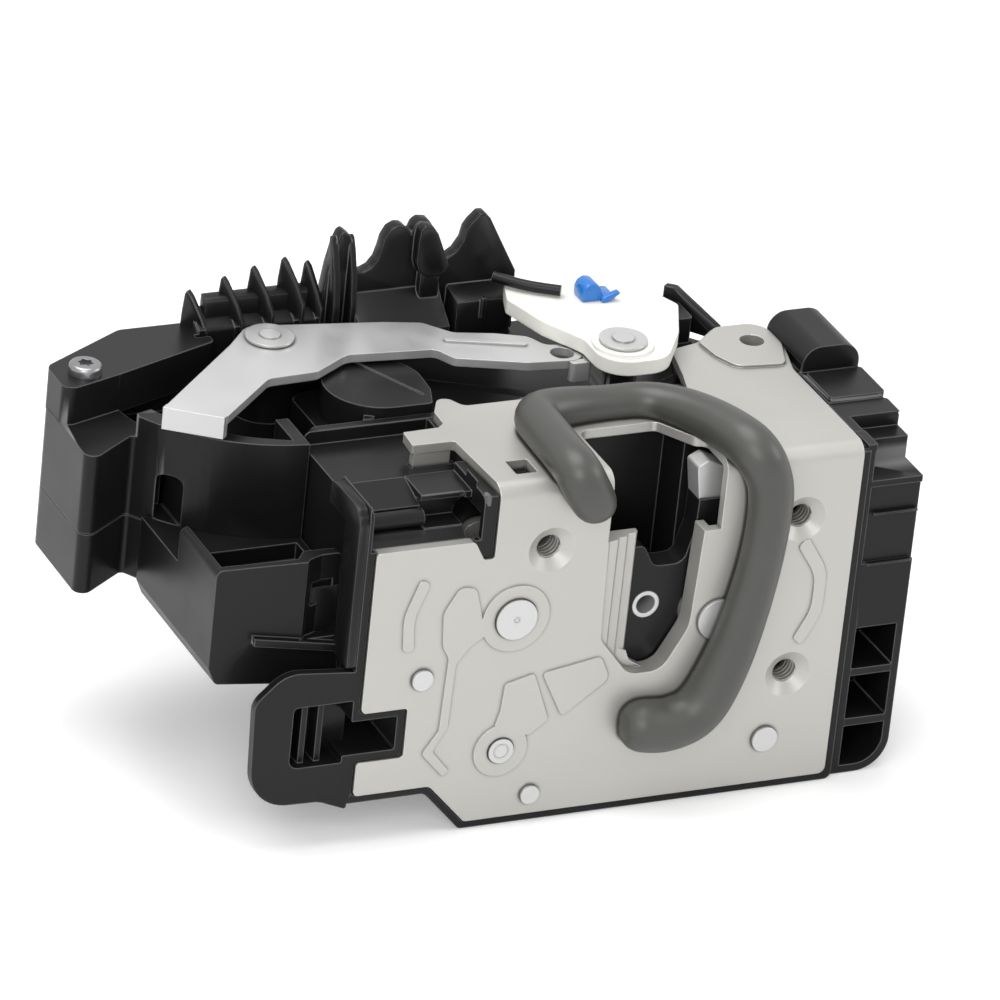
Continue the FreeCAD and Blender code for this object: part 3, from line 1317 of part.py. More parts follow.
def case_screws():
    """Pan head screws that close the case, each with a star recess."""
    shapes = []
    for x, y, level in ((-73.5, 62.0, d.wing_high), (12.0, 40.0, d.deck_high), (40.0, 68.0, d.deck_high)):
        head = Part.makeCylinder(3.3, 2.2, V(x, y, level + 0.01))
        rim = [e for e in head.Edges if abs(e.CenterOfMass.z - level - 2.21) < 1e-3]
        head = head.makeFillet(0.9, rim)
        star = Part.Face(Part.Wire([e.toShape() for e in outline_edges(star_corners(x, y))]))
        star.translate(V(0, 0, level + 1.0))
        shapes.append(head.cut(star.extrude(V(0, 0, 3))))
    return solid_part("case_screws", Part.makeCompound(shapes))


def star_corners(x, y):
    corners = []
    for point in range(12):
        reach = 1.7 if point % 2 else 1.2
        turn = math.radians(30.0 * point)
        corners.append((x + reach * math.cos(turn), y + reach * math.sin(turn)))
    return corners


def stop_bush():
    """Hollow pin through the claw, just below the throat where the striker seats."""
    px, pz = CLAW_PIN
    start = d.mech_front - SKIN_FRONT - 0.3
    end = d.mech_front + d.mech_thick
    tube = Part.makeCylinder(CLAW_PIN_RADIUS, end - start, V(px, start, pz), V(0, 1, 0))
    bore = Part.makeCylinder(CLAW_PIN_RADIUS - 0.85, end - start + 2, V(px, start - 1, pz), V(0, 1, 0))
    return solid_part("stop_bush", tube.cut(bore))


# Build every sub-part
latch_plate()
rubber_buffer()
back_plate()
pivot_rivet("pawl_rivet", d.pawl_x, d.pawl_z, RIVET_HEAD, d.pivot_radius)
pivot_rivet("claw_rivet", d.claw_x, d.claw_z, RIVET_HEAD, d.pivot_radius)
lathe("arm_rivet", *LATCH_ARM_PIVOT, [
    (-0.7, 2.65), (0.0, 2.0 - d.run_gap), (d.plate_thick, 3.0), (BACK_FRONT, 2.5), (BACK_END + 1.5, 0)])
face_rivets()
latch_frame()
frame_cover()
claw_parts()
pawl()
release_arm()
coil_spring("claw_spring", "claw", 0)
coil_spring("pawl_spring", "pawl", 90)
stop_bush()
case_upper()
case_lower()
gear_cap()
cable_rack()
steel_lever()
lever_rivet()
white_lever()
white_rivet()
rod_clip()
link_rod()
lock_arm()
lock_arm_pin()
lock_motor()
motor_cradle()
worm_shaft()
worm()
worm_wheel()
wheel_axle()
circuit_carrier()
micro_switch("lock_switch", 22.0, 40.0, -d.case_low + d.wall + 0.01)
micro_switch("claw_switch", 40.0, 27.0, -54.99)
side_housing()
connector_pins()
case_screws()
doc.recompute()

# Check and write
faults = []
for item in doc.Objects:
    if {"Invalid", "Error"} & set(item.State):
        faults.append(f"{item.Label}: {item.State}")
for label, item in bodies.items():
    if item.Shape.isNull() or not item.Shape.isValid() or not item.Shape.Solids:
        faults.append(f"{label}: shape")
if faults:
    raise RuntimeError("; ".join(faults))
os.makedirs("parts", exist_ok=True)
for label, item in bodies.items():
    item.Shape.exportStep(f"parts/{label}.step")
    print(f"{label}: {len(item.Shape.Solids)} solids, {item.Shape.Volume:.0f} mm3")
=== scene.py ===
"""Looks of a vehicle door latch with its lock drive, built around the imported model.

Every length is in metres, in the model's own frame: X runs right along the plate,
Y runs back into the latch and Z runs up. Drawn outlines, corners and routes are in
millimetres, and the bench turns them into metres.
"""

import json
import logging
import math
from dataclasses import dataclass, field
from enum import Enum

import bpy
from mathutils import Matrix, Vector


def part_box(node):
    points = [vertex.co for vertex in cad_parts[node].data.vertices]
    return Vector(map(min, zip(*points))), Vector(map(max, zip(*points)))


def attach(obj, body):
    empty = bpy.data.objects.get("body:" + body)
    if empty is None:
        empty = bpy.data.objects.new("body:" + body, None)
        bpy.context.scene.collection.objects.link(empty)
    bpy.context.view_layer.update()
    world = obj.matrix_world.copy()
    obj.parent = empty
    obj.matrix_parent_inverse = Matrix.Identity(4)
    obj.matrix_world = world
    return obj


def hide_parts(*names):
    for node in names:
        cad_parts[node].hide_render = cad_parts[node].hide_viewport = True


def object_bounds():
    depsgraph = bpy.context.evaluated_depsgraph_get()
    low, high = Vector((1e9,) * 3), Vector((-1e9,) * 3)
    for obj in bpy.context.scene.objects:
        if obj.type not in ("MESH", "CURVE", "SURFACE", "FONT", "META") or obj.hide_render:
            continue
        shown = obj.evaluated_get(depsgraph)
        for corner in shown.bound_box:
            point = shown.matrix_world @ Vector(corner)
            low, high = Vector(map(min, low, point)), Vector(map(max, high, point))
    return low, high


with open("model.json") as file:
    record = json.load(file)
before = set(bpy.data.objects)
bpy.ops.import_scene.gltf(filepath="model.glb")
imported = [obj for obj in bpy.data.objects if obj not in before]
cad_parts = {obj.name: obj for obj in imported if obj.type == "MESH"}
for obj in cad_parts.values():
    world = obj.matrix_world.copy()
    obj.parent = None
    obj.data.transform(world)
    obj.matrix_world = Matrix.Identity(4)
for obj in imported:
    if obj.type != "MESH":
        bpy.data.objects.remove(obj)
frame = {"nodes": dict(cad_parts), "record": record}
CAD_LOW, CAD_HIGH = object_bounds()
LOG = logging.getLogger("door_latch")
MM = 0.001

Colour = tuple[float, float, float]
Place = tuple[float, float, float]
Span = tuple[float, float]
Outline = tuple[tuple[float, float], ...]

# The sockets of a Mix node that mixes colours.
MIX_SHARE, MIX_FIRST, MIX_SECOND = 0, 6, 7
MIX_RESULT = 2

# Where the drift noise runs from its low to its high value.
DRIFT_SPAN = (0.3, 0.7)
DRIFT_OCTAVES = 3.0
GRAIN_OCTAVES = 2.0
# How far a corner shuts out light before painted shade shows in it, and where it is darkest.
CREASE_SPAN = (0.93, 0.55)
CREASE_REACH = 0.9 * MM
CREASE_SAMPLES = 8
# The colour of the shade painted into corners and creases.
CREASE_SHADE = (0.05, 0.047, 0.04)
# How far the rounded normal leans from the true one at the start and the middle of an edge.
EDGE_SPAN = (0.985, 0.88)
EDGE_SAMPLES = 6
COAT_ROUGHNESS = 0.25
WHITE = (1.0, 1.0, 1.0, 1.0)

# Faces that meet at less than these angles look smooth.
SMOOTH_NEW = math.radians(35)
SMOOTH_TUBE = math.radians(50)
SMOOTH_COPY = math.radians(14)
# Points nearer than this are one point.
MERGE_TUBE = 0.001 * MM
MERGE_COPY = 0.002 * MM
# Edges sharper than this angle are rounded, with this many faces across.
ROUND_ANGLE = math.radians(30)
ROUND_SEGMENTS = 2
# A tube's curve, its steps from point to point and the roundness of its section.
TUBE_ORDER = 3
TUBE_STEPS = 14
TUBE_ROUNDNESS = 8


class Look(Enum):
    """The finishes that the latch's pieces take, each named for its record slot."""

    ZINC = "zinc_steel"
    BRIGHT = "bright_steel"
    RUBBER = "rubber"
    BLACK = "black_plastic"
    WHITE = "white_plastic"
    BLUE = "blue_plastic"
    SPRING = "spring_steel"
    BRASS = "brass"
    BOARD = "green_board"


@dataclass(frozen=True)
class Finish:
    """One procedural surface: drifting colour, grain, softened edges, painted edge highlight and
    crease shade.
    """

    name: str
    colour: Colour
    second: Colour
    metallic: float = 0.0
    roughness: float = 0.5
    rough_span: float = 0.08
    drift_scale: float = 60.0
    grain_scale: float = 2500.0
    grain_height: float = 0.000004
    grain_stretch: tuple[float, float, float] = (1.0, 1.0, 1.0)
    edge: float = 0.00025
    # The colour and share of the highlight painted along sharp edges, then the strength of the
    # painted shade in creases.
    highlight_colour: Colour = (0.8, 0.8, 0.8)
    highlight_share: float = 0.0
    crease: float = 0.0
    specular: float = 0.5
    coat: float = 0.0

    def build(self) -> bpy.types.Material:
        """Makes the node material.

        Returns:
            The new material, which reads Object coordinates only.
        """
        material = bpy.data.materials.new(self.name)
        material.use_nodes = True
        tree = material.node_tree
        tree.nodes.clear()
        add = tree.nodes.new
        link = tree.links.new
        shader = add("ShaderNodeBsdfPrincipled")
        output = add("ShaderNodeOutputMaterial")
        link(shader.outputs["BSDF"], output.inputs["Surface"])
        shader.inputs["Metallic"].default_value = self.metallic
        shader.inputs["Specular IOR Level"].default_value = self.specular
        shader.inputs["Coat Weight"].default_value = self.coat
        shader.inputs["Coat Roughness"].default_value = COAT_ROUGHNESS
        place = add("ShaderNodeTexCoord").outputs["Object"]
        drift = self._noise(tree, place, self.drift_scale, DRIFT_OCTAVES)
        soft = add("ShaderNodeBevel")
        soft.samples = EDGE_SAMPLES
        soft.inputs["Radius"].default_value = self.edge
        colour = self._mixed(tree, drift, self.colour, self.second)
        # Painted shade: corners and creases are darkened where ambient occlusion finds them.
        if self.crease:
            colour = self._painted_crease_shade(tree, colour)
        # Painted highlight: sharp edges are mixed towards a lighter colour.
        edge_highlight = self._painted_edge_highlight(tree, soft.outputs["Normal"])
        colour = self._mixed(tree, edge_highlight, colour, self.highlight_colour)
        link(colour, shader.inputs["Base Color"])
        rough = (self.roughness - self.rough_span, self.roughness + self.rough_span)
        link(self._mapped(tree, drift, DRIFT_SPAN, rough), shader.inputs["Roughness"])
        stretch = add("ShaderNodeMapping")
        stretch.inputs["Scale"].default_value = self.grain_stretch
        link(place, stretch.inputs["Vector"])
        bump = add("ShaderNodeBump")
        bump.inputs["Distance"].default_value = self.grain_height
        grain = self._noise(tree, stretch.outputs["Vector"], self.grain_scale, GRAIN_OCTAVES)
        link(grain, bump.inputs["Height"])
        link(soft.outputs["Normal"], bump.inputs["Normal"])
        link(bump.outputs["Normal"], shader.inputs["Normal"])
        return material

    def _painted_crease_shade(
        self, tree: bpy.types.NodeTree, colour: bpy.types.NodeSocket
    ) -> bpy.types.NodeSocket:
        """Paints shade into the narrow corners and creases that ambient occlusion finds.

        Args:
            tree: The material's nodes.
            colour: The surface's colour before the painted shade.

        Returns:
            The socket of the darkened colour.
        """
        corner = tree.nodes.new("ShaderNodeAmbientOcclusion")
        corner.samples = CREASE_SAMPLES
        corner.inputs["Distance"].default_value = CREASE_REACH
        depth = self._mapped(tree, corner.outputs["AO"], CREASE_SPAN, (0.0, self.crease))
        return self._mixed(tree, depth, colour, CREASE_SHADE)

    def _painted_edge_highlight(
        self, tree: bpy.types.NodeTree, rounded: bpy.types.NodeSocket
    ) -> bpy.types.NodeSocket:
        """Finds the sharp edges, where a lighter line is painted as a highlight.

        Args:
            tree: The material's nodes.
            rounded: The normal with its edges rounded.

        Returns:
            The socket that holds 0 on flat faces and the painted highlight's share on edges.
        """
        surface = tree.nodes.new("ShaderNodeNewGeometry")
        likeness = tree.nodes.new("ShaderNodeVectorMath")
        likeness.operation = "DOT_PRODUCT"
        tree.links.new(rounded, likeness.inputs[0])
        tree.links.new(surface.outputs["True Normal"], likeness.inputs[1])
        return self._mapped(tree, likeness.outputs["Value"], EDGE_SPAN, (0.0, self.highlight_share))

    @staticmethod
    def _noise(
        tree: bpy.types.NodeTree, vector: bpy.types.NodeSocket, scale: float, detail: float
    ) -> bpy.types.NodeSocket:
        """Adds a noise texture.

        Args:
            tree: The material's nodes.
            vector: The socket that gives the place.
            scale: The pattern's scale.
            detail: The number of octaves.

        Returns:
            The socket of its value.
        """
        noise = tree.nodes.new("ShaderNodeTexNoise")
        noise.inputs["Scale"].default_value = scale
        noise.inputs["Detail"].default_value = detail
        tree.links.new(vector, noise.inputs["Vector"])
        return noise.outputs["Fac"]

    @staticmethod
    def _mapped(
        tree: bpy.types.NodeTree, value: bpy.types.NodeSocket, source: Span, target: Span
    ) -> bpy.types.NodeSocket:
        """Maps one span of values onto another and holds its ends.

        Args:
            tree: The material's nodes.
            value: The socket of the value.
            source: The span that the value has.
            target: The span that it gets.

        Returns:
            The socket of the mapped value.
        """
        span = tree.nodes.new("ShaderNodeMapRange")
        span.inputs["From Min"].default_value, span.inputs["From Max"].default_value = source
        span.inputs["To Min"].default_value, span.inputs["To Max"].default_value = target
        tree.links.new(value, span.inputs["Value"])
        return span.outputs["Result"]

    @staticmethod
    def _mixed(
        tree: bpy.types.NodeTree,
        share: bpy.types.NodeSocket,
        first: bpy.types.NodeSocket | Colour,
        second: Colour,
    ) -> bpy.types.NodeSocket:
        """Mixes a second colour into a first.

        Args:
            tree: The material's nodes.
            share: The socket of the second colour's share.
            first: The first colour, or the socket that gives it.
            second: The second colour.

        Returns:
            The socket of the mixed colour.
        """
        mix = tree.nodes.new("ShaderNodeMix")
        mix.data_type = "RGBA"
        if isinstance(first, bpy.types.NodeSocket):
            tree.links.new(first, mix.inputs[MIX_FIRST])
        else:
            mix.inputs[MIX_FIRST].default_value = (*first, 1.0)
        mix.inputs[MIX_SECOND].default_value = (*second, 1.0)
        tree.links.new(share, mix.inputs[MIX_SHARE])
        return mix.outputs[MIX_RESULT]


FINISHES = {
    # A painted highlight along its edges and painted shade in its creases.
    Look.ZINC: Finish(
        "stamped_zinc", (0.455, 0.445, 0.42), (0.505, 0.495, 0.47), metallic=0.55, roughness=0.42,
        grain_scale=1600.0, grain_height=0.000006, drift_scale=45.0, edge=0.0003,
        highlight_colour=(0.78, 0.77, 0.74), highlight_share=0.6, crease=0.85,
    ),
    # Painted shade in its creases.
    Look.BRIGHT: Finish(
        "bright_steel", (0.53, 0.535, 0.53), (0.60, 0.605, 0.60), metallic=0.6, roughness=0.36,
        crease=0.6, grain_scale=900.0, grain_height=0.000005, grain_stretch=(1.0, 1.0, 3.0),
        drift_scale=80.0,
    ),
    Look.RUBBER: Finish(
        "moulded_rubber", (0.052, 0.052, 0.048), (0.070, 0.070, 0.064), roughness=0.40,
        rough_span=0.06, grain_scale=1800.0, grain_height=0.000010, drift_scale=90.0,
    ),
    # A painted highlight along its edges.
    Look.BLACK: Finish(
        "moulded_black", (0.006, 0.006, 0.0065), (0.010, 0.010, 0.0105), roughness=0.34,
        rough_span=0.05, grain_scale=2600.0, grain_height=0.000006, drift_scale=70.0, edge=0.0004,
        highlight_colour=(0.17, 0.17, 0.17), highlight_share=0.8, specular=0.22,
    ),
    Look.WHITE: Finish(
        "moulded_white", (0.83, 0.82, 0.76), (0.88, 0.87, 0.82), roughness=0.42,
        grain_scale=2400.0, grain_height=0.000004, edge=0.0004,
    ),
    Look.BLUE: Finish(
        "clip_blue", (0.008, 0.14, 0.50), (0.016, 0.19, 0.60), roughness=0.28, coat=0.3,
        grain_height=0.000003,
    ),
    Look.SPRING: Finish(
        "drawn_wire", (0.22, 0.22, 0.23), (0.34, 0.34, 0.35), metallic=0.9, roughness=0.30,
        grain_scale=1200.0,
    ),
    Look.BRASS: Finish(
        "turned_brass", (0.60, 0.42, 0.16), (0.72, 0.52, 0.22), metallic=0.9, roughness=0.30,
        grain_scale=1200.0,
    ),
    Look.BOARD: Finish(
        "solder_mask", (0.02, 0.10, 0.05), (0.03, 0.14, 0.07), roughness=0.35,
        grain_scale=1200.0,
    ),
}


@dataclass
class Workshop:
    """Gives pieces their finishes and adds them to the bodies that carry them."""

    materials: dict[Look, bpy.types.Material] = field(default_factory=dict)

    def material(self, look: Look) -> bpy.types.Material:
        """Returns the material of a finish, made once.

        Args:
            look: The finish.

        Returns:
            Its material.
        """
        if look not in self.materials:
            self.materials[look] = FINISHES[look].build()
        return self.materials[look]

    def dress_cad(self) -> None:
        """Gives every carried over node the finish that its record slot names."""
        slots = {row["node"]: row["material_slot"] for row in frame["record"]["subparts"]}
        for name, node in frame["nodes"].items():
            look = Look(slots[name])
            for slot in node.material_slots:
                slot.material = self.material(look)
            LOG.info("%s takes %s", name, look.value)

    def add(self, piece: bpy.types.Object, body: str, look: Look) -> bpy.types.Object:
        """Finishes a new piece and lets it ride on its body.

        Args:
            piece: The mesh object, with its place in its mesh.
            body: The body that carries it.
            look: Its finish.

        Returns:
            The piece.
        """
        piece.data.materials.clear()
        piece.data.materials.append(self.material(look))
        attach(piece, body)
        LOG.info("%s rides on %s", piece.name, body)
        return piece


@dataclass(frozen=True)
class Lamp:
    """A soft square lamp that faces the latch, with its side and its power in watts."""

    name: str
    place: Place
    size: float
    power: float

    def hang(self) -> None:
        """Adds the lamp to the scene."""
        data = bpy.data.lights.new(self.name, "AREA")
        data.size = self.size
        data.energy = self.power
        lamp = bpy.data.objects.new(self.name, data)
        lamp.location = self.place
        lamp.rotation_mode = "QUATERNION"
        lamp.rotation_quaternion = (-Vector(self.place)).to_track_quat("-Z", "Y")
        bpy.context.scene.collection.objects.link(lamp)


@dataclass
class Studio:
    """Camera, light and floor for the photograph's view."""

    azimuth: float = math.radians(26.74)
    elevation: float = math.radians(27.34)
    roll: float = math.radians(6.16)
    lens: float = 324.0
    sensor: float = 36.0
    image: float = 1000.0
    origin_at: tuple[float, float] = (551.9, 550.1)
    distance: float = 1.7308
    clip: Span = (0.05, 20.0)
    surround_light: float = 0.40
    floor_half: float = 3.0
    floor_gap: float = 0.2 * MM
    floor_colour: Colour = (0.88, 0.88, 0.88)
    floor_glow: float = 0.24
    lamps: tuple[Lamp, ...] = (
        Lamp("lamp_top", (-0.25, 0.15, 1.1), 0.9, 11.0),
        Lamp("lamp_front", (-0.7, -1.0, 0.75), 0.8, 9.0),
        Lamp("lamp_right", (1.0, -0.35, 0.5), 0.5, 3.0),
    )

    def camera(self) -> None:
        """Places the camera so that the thread's axis falls where the photograph shows it."""
        right = Vector((math.cos(self.azimuth), -math.sin(self.azimuth), 0.0))
        ahead = Vector((
            math.sin(self.azimuth) * math.cos(self.elevation),
            math.cos(self.azimuth) * math.cos(self.elevation),
            -math.sin(self.elevation),
        ))
        over = right.cross(ahead)
        across = right * math.cos(self.roll) + over * math.sin(self.roll)
        upward = over * math.cos(self.roll) - right * math.sin(self.roll)
        focal = self.lens / self.sensor * self.image
        offset_x = (self.origin_at[0] - self.image / 2) / focal * self.distance
        offset_y = (self.image / 2 - self.origin_at[1]) / focal * self.distance
        place = -(across * offset_x + upward * offset_y + ahead * self.distance)
        data = bpy.data.cameras.new("camera")
        data.lens = self.lens
        data.sensor_width = self.sensor
        data.clip_start, data.clip_end = self.clip
        camera = bpy.data.objects.new("camera", data)
        turn = Matrix((across, upward, -ahead)).transposed().to_4x4()
        camera.matrix_world = Matrix.Translation(place) @ turn
        bpy.context.scene.collection.objects.link(camera)
        bpy.context.scene.camera = camera

    def world(self) -> None:
        """Surrounds the latch with white, full in views and reflections and softer as light."""
        world = bpy.data.worlds.new("studio")
        world.use_nodes = True
        tree = world.node_tree
        back = tree.nodes["Background"]
        back.inputs["Color"].default_value = WHITE
        seen = tree.nodes.new("ShaderNodeMapRange")
        seen.inputs["To Min"].default_value = self.surround_light
        seen.inputs["To Max"].default_value = 1.0
        tree.links.new(self._seen_directly(tree), seen.inputs["Value"])
        tree.links.new(seen.outputs["Result"], back.inputs["Strength"])
        bpy.context.scene.world = world

    @staticmethod
    def _seen_directly(tree: bpy.types.NodeTree) -> bpy.types.NodeSocket:
        """Tells rays that show the surround from rays that only light the latch.

        Args:
            tree: The nodes of the world or the floor.

        Returns:
            The socket that is 1 for camera, glossy and transmission rays.
        """
        path = tree.nodes.new("ShaderNodeLightPath")
        socket = path.outputs["Is Camera Ray"]
        for kind in ("Is Glossy Ray", "Is Transmission Ray"):
            either = tree.nodes.new("ShaderNodeMath")
            either.operation = "MAXIMUM"
            tree.links.new(socket, either.inputs[0])
            tree.links.new(path.outputs[kind], either.inputs[1])
            socket = either.outputs[0]
        return socket

    def floor(self) -> None:
        """Lays a pale floor under the latch that keeps its shadow."""
        bpy.ops.object.select_all(action="DESELECT")
        bpy.ops.mesh.primitive_plane_add(
            size=2 * self.floor_half, location=(0, 0, CAD_LOW.z - self.floor_gap))
        floor = bpy.context.object
        floor.name = "floor"
        material = bpy.data.materials.new("floor")
        material.use_nodes = True
        tree = material.node_tree
        tree.nodes.clear()
        output = tree.nodes.new("ShaderNodeOutputMaterial")
        matt = tree.nodes.new("ShaderNodeBsdfDiffuse")
        matt.inputs["Color"].default_value = (*self.floor_colour, 1.0)
        glow = tree.nodes.new("ShaderNodeEmission")
        glow.inputs["Color"].default_value = WHITE
        share = tree.nodes.new("ShaderNodeMath")
        share.operation = "MULTIPLY"
        share.inputs[1].default_value = self.floor_glow
        tree.links.new(self._seen_directly(tree), share.inputs[0])
        tree.links.new(share.outputs[0], glow.inputs["Strength"])
        both = tree.nodes.new("ShaderNodeAddShader")
        tree.links.new(matt.outputs[0], both.inputs[0])
        tree.links.new(glow.outputs[0], both.inputs[1])
        tree.links.new(both.outputs[0], output.inputs["Surface"])
        floor.data.materials.append(material)

    def build(self) -> None:
        """Sets the whole studio up."""
        self.camera()
        self.world()
        self.floor()
        for lamp in self.lamps:
            lamp.hang()
        view = bpy.context.scene.view_settings
        view.view_transform = "Standard"


class Plane(Enum):
    """The two axes that an outline is drawn on, then the one that it is pushed along."""

    TOP = (0, 1, 2)
    FRONT = (0, 2, 1)
    SIDE = (1, 2, 0)

    def point(self, first: float, second: float, third: float) -> Vector:
        """Turns a drawn point in millimetres into a place in metres.

        Args:
            first: Along the first drawn axis.
            second: Along the second drawn axis.
            third: Along the axis that the outline is pushed along.

        Returns:
            The place.
        """
        place = Vector((0.0, 0.0, 0.0))
        for axis, length in zip(self.value, (first, second, third)):
            place[axis] = length * MM
        return place


class Bench:
    """Hand tools for solids, tubes and cuts, made with Blender's own operators."""

    @staticmethod
    def hold(piece: bpy.types.Object) -> None:
        """Selects one piece alone.

        Args:
            piece: The piece that the next operator acts on.
        """
        bpy.ops.object.select_all(action="DESELECT")
        piece.select_set(True)
        bpy.context.view_layer.objects.active = piece

    @staticmethod
    def outward(merge: float = 0.0) -> None:
        """Turns the held piece's faces outwards.

        Args:
            merge: Points nearer than this are merged first, 0 for none.
        """
        bpy.ops.object.mode_set(mode="EDIT")
        bpy.ops.mesh.select_all(action="SELECT")
        if merge:
            bpy.ops.mesh.remove_doubles(threshold=merge)
        bpy.ops.mesh.normals_make_consistent(inside=False)
        bpy.ops.object.mode_set(mode="OBJECT")

    @staticmethod
    def soften(piece: bpy.types.Object, width: float) -> None:
        """Rounds a piece's sharp edges and smooths its faces.

        Args:
            piece: The mesh object.
            width: The rounding in millimetres, 0 for none.
        """
        Bench.hold(piece)
        if width > 0:
            bevel = piece.modifiers.new("rounding", "BEVEL")
            bevel.width = width * MM
            bevel.segments = ROUND_SEGMENTS
            bevel.limit_method = "ANGLE"
            bevel.angle_limit = ROUND_ANGLE
            bpy.ops.object.modifier_apply(modifier=bevel.name)
        bpy.ops.object.shade_smooth_by_angle(angle=SMOOTH_NEW)

    @staticmethod
    def solid(name: str, corners: list[Vector], push: Vector, width: float) -> bpy.types.Object:
        """Extrudes a flat outline into a closed solid.

        Args:
            name: The piece's name.
            corners: The outline's places in metres, in order.
            push: How far the outline is extruded, in metres.
            width: The rounding of its edges in millimetres.

        Returns:
            The new piece.
        """
        bpy.ops.object.select_all(action="DESELECT")
        bpy.ops.mesh.primitive_circle_add(vertices=len(corners), radius=1.0, fill_type="NGON")
        piece = bpy.context.object
        piece.name = name
        for vertex, corner in zip(piece.data.vertices, corners):
            vertex.co = corner
        bpy.ops.object.mode_set(mode="EDIT")
        bpy.ops.mesh.select_all(action="SELECT")
        bpy.ops.mesh.extrude_region_move(TRANSFORM_OT_translate={"value": push})
        bpy.ops.object.mode_set(mode="OBJECT")
        Bench.outward()
        Bench.soften(piece, width)
        return piece

    @staticmethod
    def tube(name: str, route: tuple[tuple[float, float, float, float], ...]) -> bpy.types.Object:
        """Makes a closed tube along a smooth line.

        Args:
            name: The piece's name.
            route: The line's control points and the tube's radius at each, in millimetres.

        Returns:
            The new piece.
        """
        bpy.ops.object.select_all(action="DESELECT")
        bpy.ops.curve.primitive_nurbs_path_add()
        line = bpy.context.object
        line.name = name
        line.data.splines.clear()
        spline = line.data.splines.new("NURBS")
        spline.points.add(len(route) - 1)
        for point, (x, y, z, radius) in zip(spline.points, route):
            point.co = (x * MM, y * MM, z * MM, 1.0)
            point.radius = radius
        spline.order_u = TUBE_ORDER
        spline.use_endpoint_u = True
        spline.resolution_u = TUBE_STEPS
        line.data.bevel_depth = MM
        line.data.bevel_resolution = TUBE_ROUNDNESS
        line.data.use_fill_caps = True
        bpy.ops.object.convert(target="MESH")
        piece = bpy.context.object
        Bench.outward(MERGE_TUBE)
        bpy.ops.object.shade_smooth_by_angle(angle=SMOOTH_TUBE)
        return piece

    @staticmethod
    def cut(
        piece: bpy.types.Object, tool: bpy.types.Object, own_crossings: bool = False
    ) -> None:
        """Cuts a tool out of a piece and clears the tool away.

        Args:
            piece: The piece that is shaped.
            tool: The solid that is cut out.
            own_crossings: True where the piece may cross itself, as a tube does in a tight bend.
        """
        Bench.hold(piece)
        change = piece.modifiers.new("cut", "BOOLEAN")
        change.operation = "DIFFERENCE"
        change.solver = "EXACT"
        change.use_self = own_crossings
        change.object = tool
        bpy.ops.object.modifier_apply(modifier=change.name)
        bpy.data.objects.remove(tool, do_unlink=True)

    @staticmethod
    def join(name: str, pieces: list[bpy.types.Object]) -> bpy.types.Object:
        """Gathers several solids in one piece.

        Args:
            name: The name of the whole.
            pieces: The solids.

        Returns:
            The whole piece.
        """
        Bench.hold(pieces[0])
        for piece in pieces:
            piece.select_set(True)
        bpy.ops.object.join()
        pieces[0].name = name
        return pieces[0]

    @staticmethod
    def reshape(node: str, cuts: tuple["Block | Prism", ...], name: str) -> bpy.types.Object:
        """Copies a carried over node and cuts solids out of the copy.

        Args:
            node: The node's name.
            cuts: The solids that are cut out.
            name: The new piece's name.

        Returns:
            The new piece, which stands for the node.
        """
        tools = [cut.make() for cut in cuts]
        piece = bpy.data.objects.new(name, frame["nodes"][node].data.copy())
        bpy.context.scene.collection.objects.link(piece)
        Bench.hold(piece)
        bpy.ops.object.mode_set(mode="EDIT")
        bpy.ops.mesh.select_all(action="SELECT")
        bpy.ops.mesh.remove_doubles(threshold=MERGE_COPY)
        bpy.ops.object.mode_set(mode="OBJECT")
        for tool in tools:
            Bench.cut(piece, tool)
        Bench.hold(piece)
        bpy.ops.object.shade_smooth_by_angle(angle=SMOOTH_COPY)
        level = piece.modifiers.new("level_faces", "WEIGHTED_NORMAL")
        level.keep_sharp = True
        bpy.ops.object.modifier_apply(modifier=level.name)
        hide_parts(node)
        return piece


@dataclass(frozen=True)
class Prism:
    """An outline drawn on a plane and pushed along the third axis, in millimetres.

    A width of 0 leaves its edges sharp, as the solids that are cut out have them.
    """

    name: str
    plane: Plane
    outline: Outline
    start: float
    depth: float
    width: float = 0.0

    def make(self) -> bpy.types.Object:
        """Makes the solid.

        Returns:
            The new piece.
        """
        corners = [self.plane.point(first, second, self.start) for first, second in self.outline]
        push = self.plane.point(0.0, 0.0, self.depth)
        return Bench.solid(self.name, corners, push, self.width)


@dataclass(frozen=True)
class Block:
    """A box between its lowest and highest corners, in millimetres."""

    name: str
    low: Place
    high: Place
    width: float = 0.0

    def make(self) -> bpy.types.Object:
        """Makes the box.

        Returns:
            The new piece.
        """
        (left, front, bottom), (right, back, top) = self.low, self.high
        outline = ((left, front), (right, front), (right, back), (left, back))
        return Prism(self.name, Plane.TOP, outline, bottom, top - bottom, self.width).make()


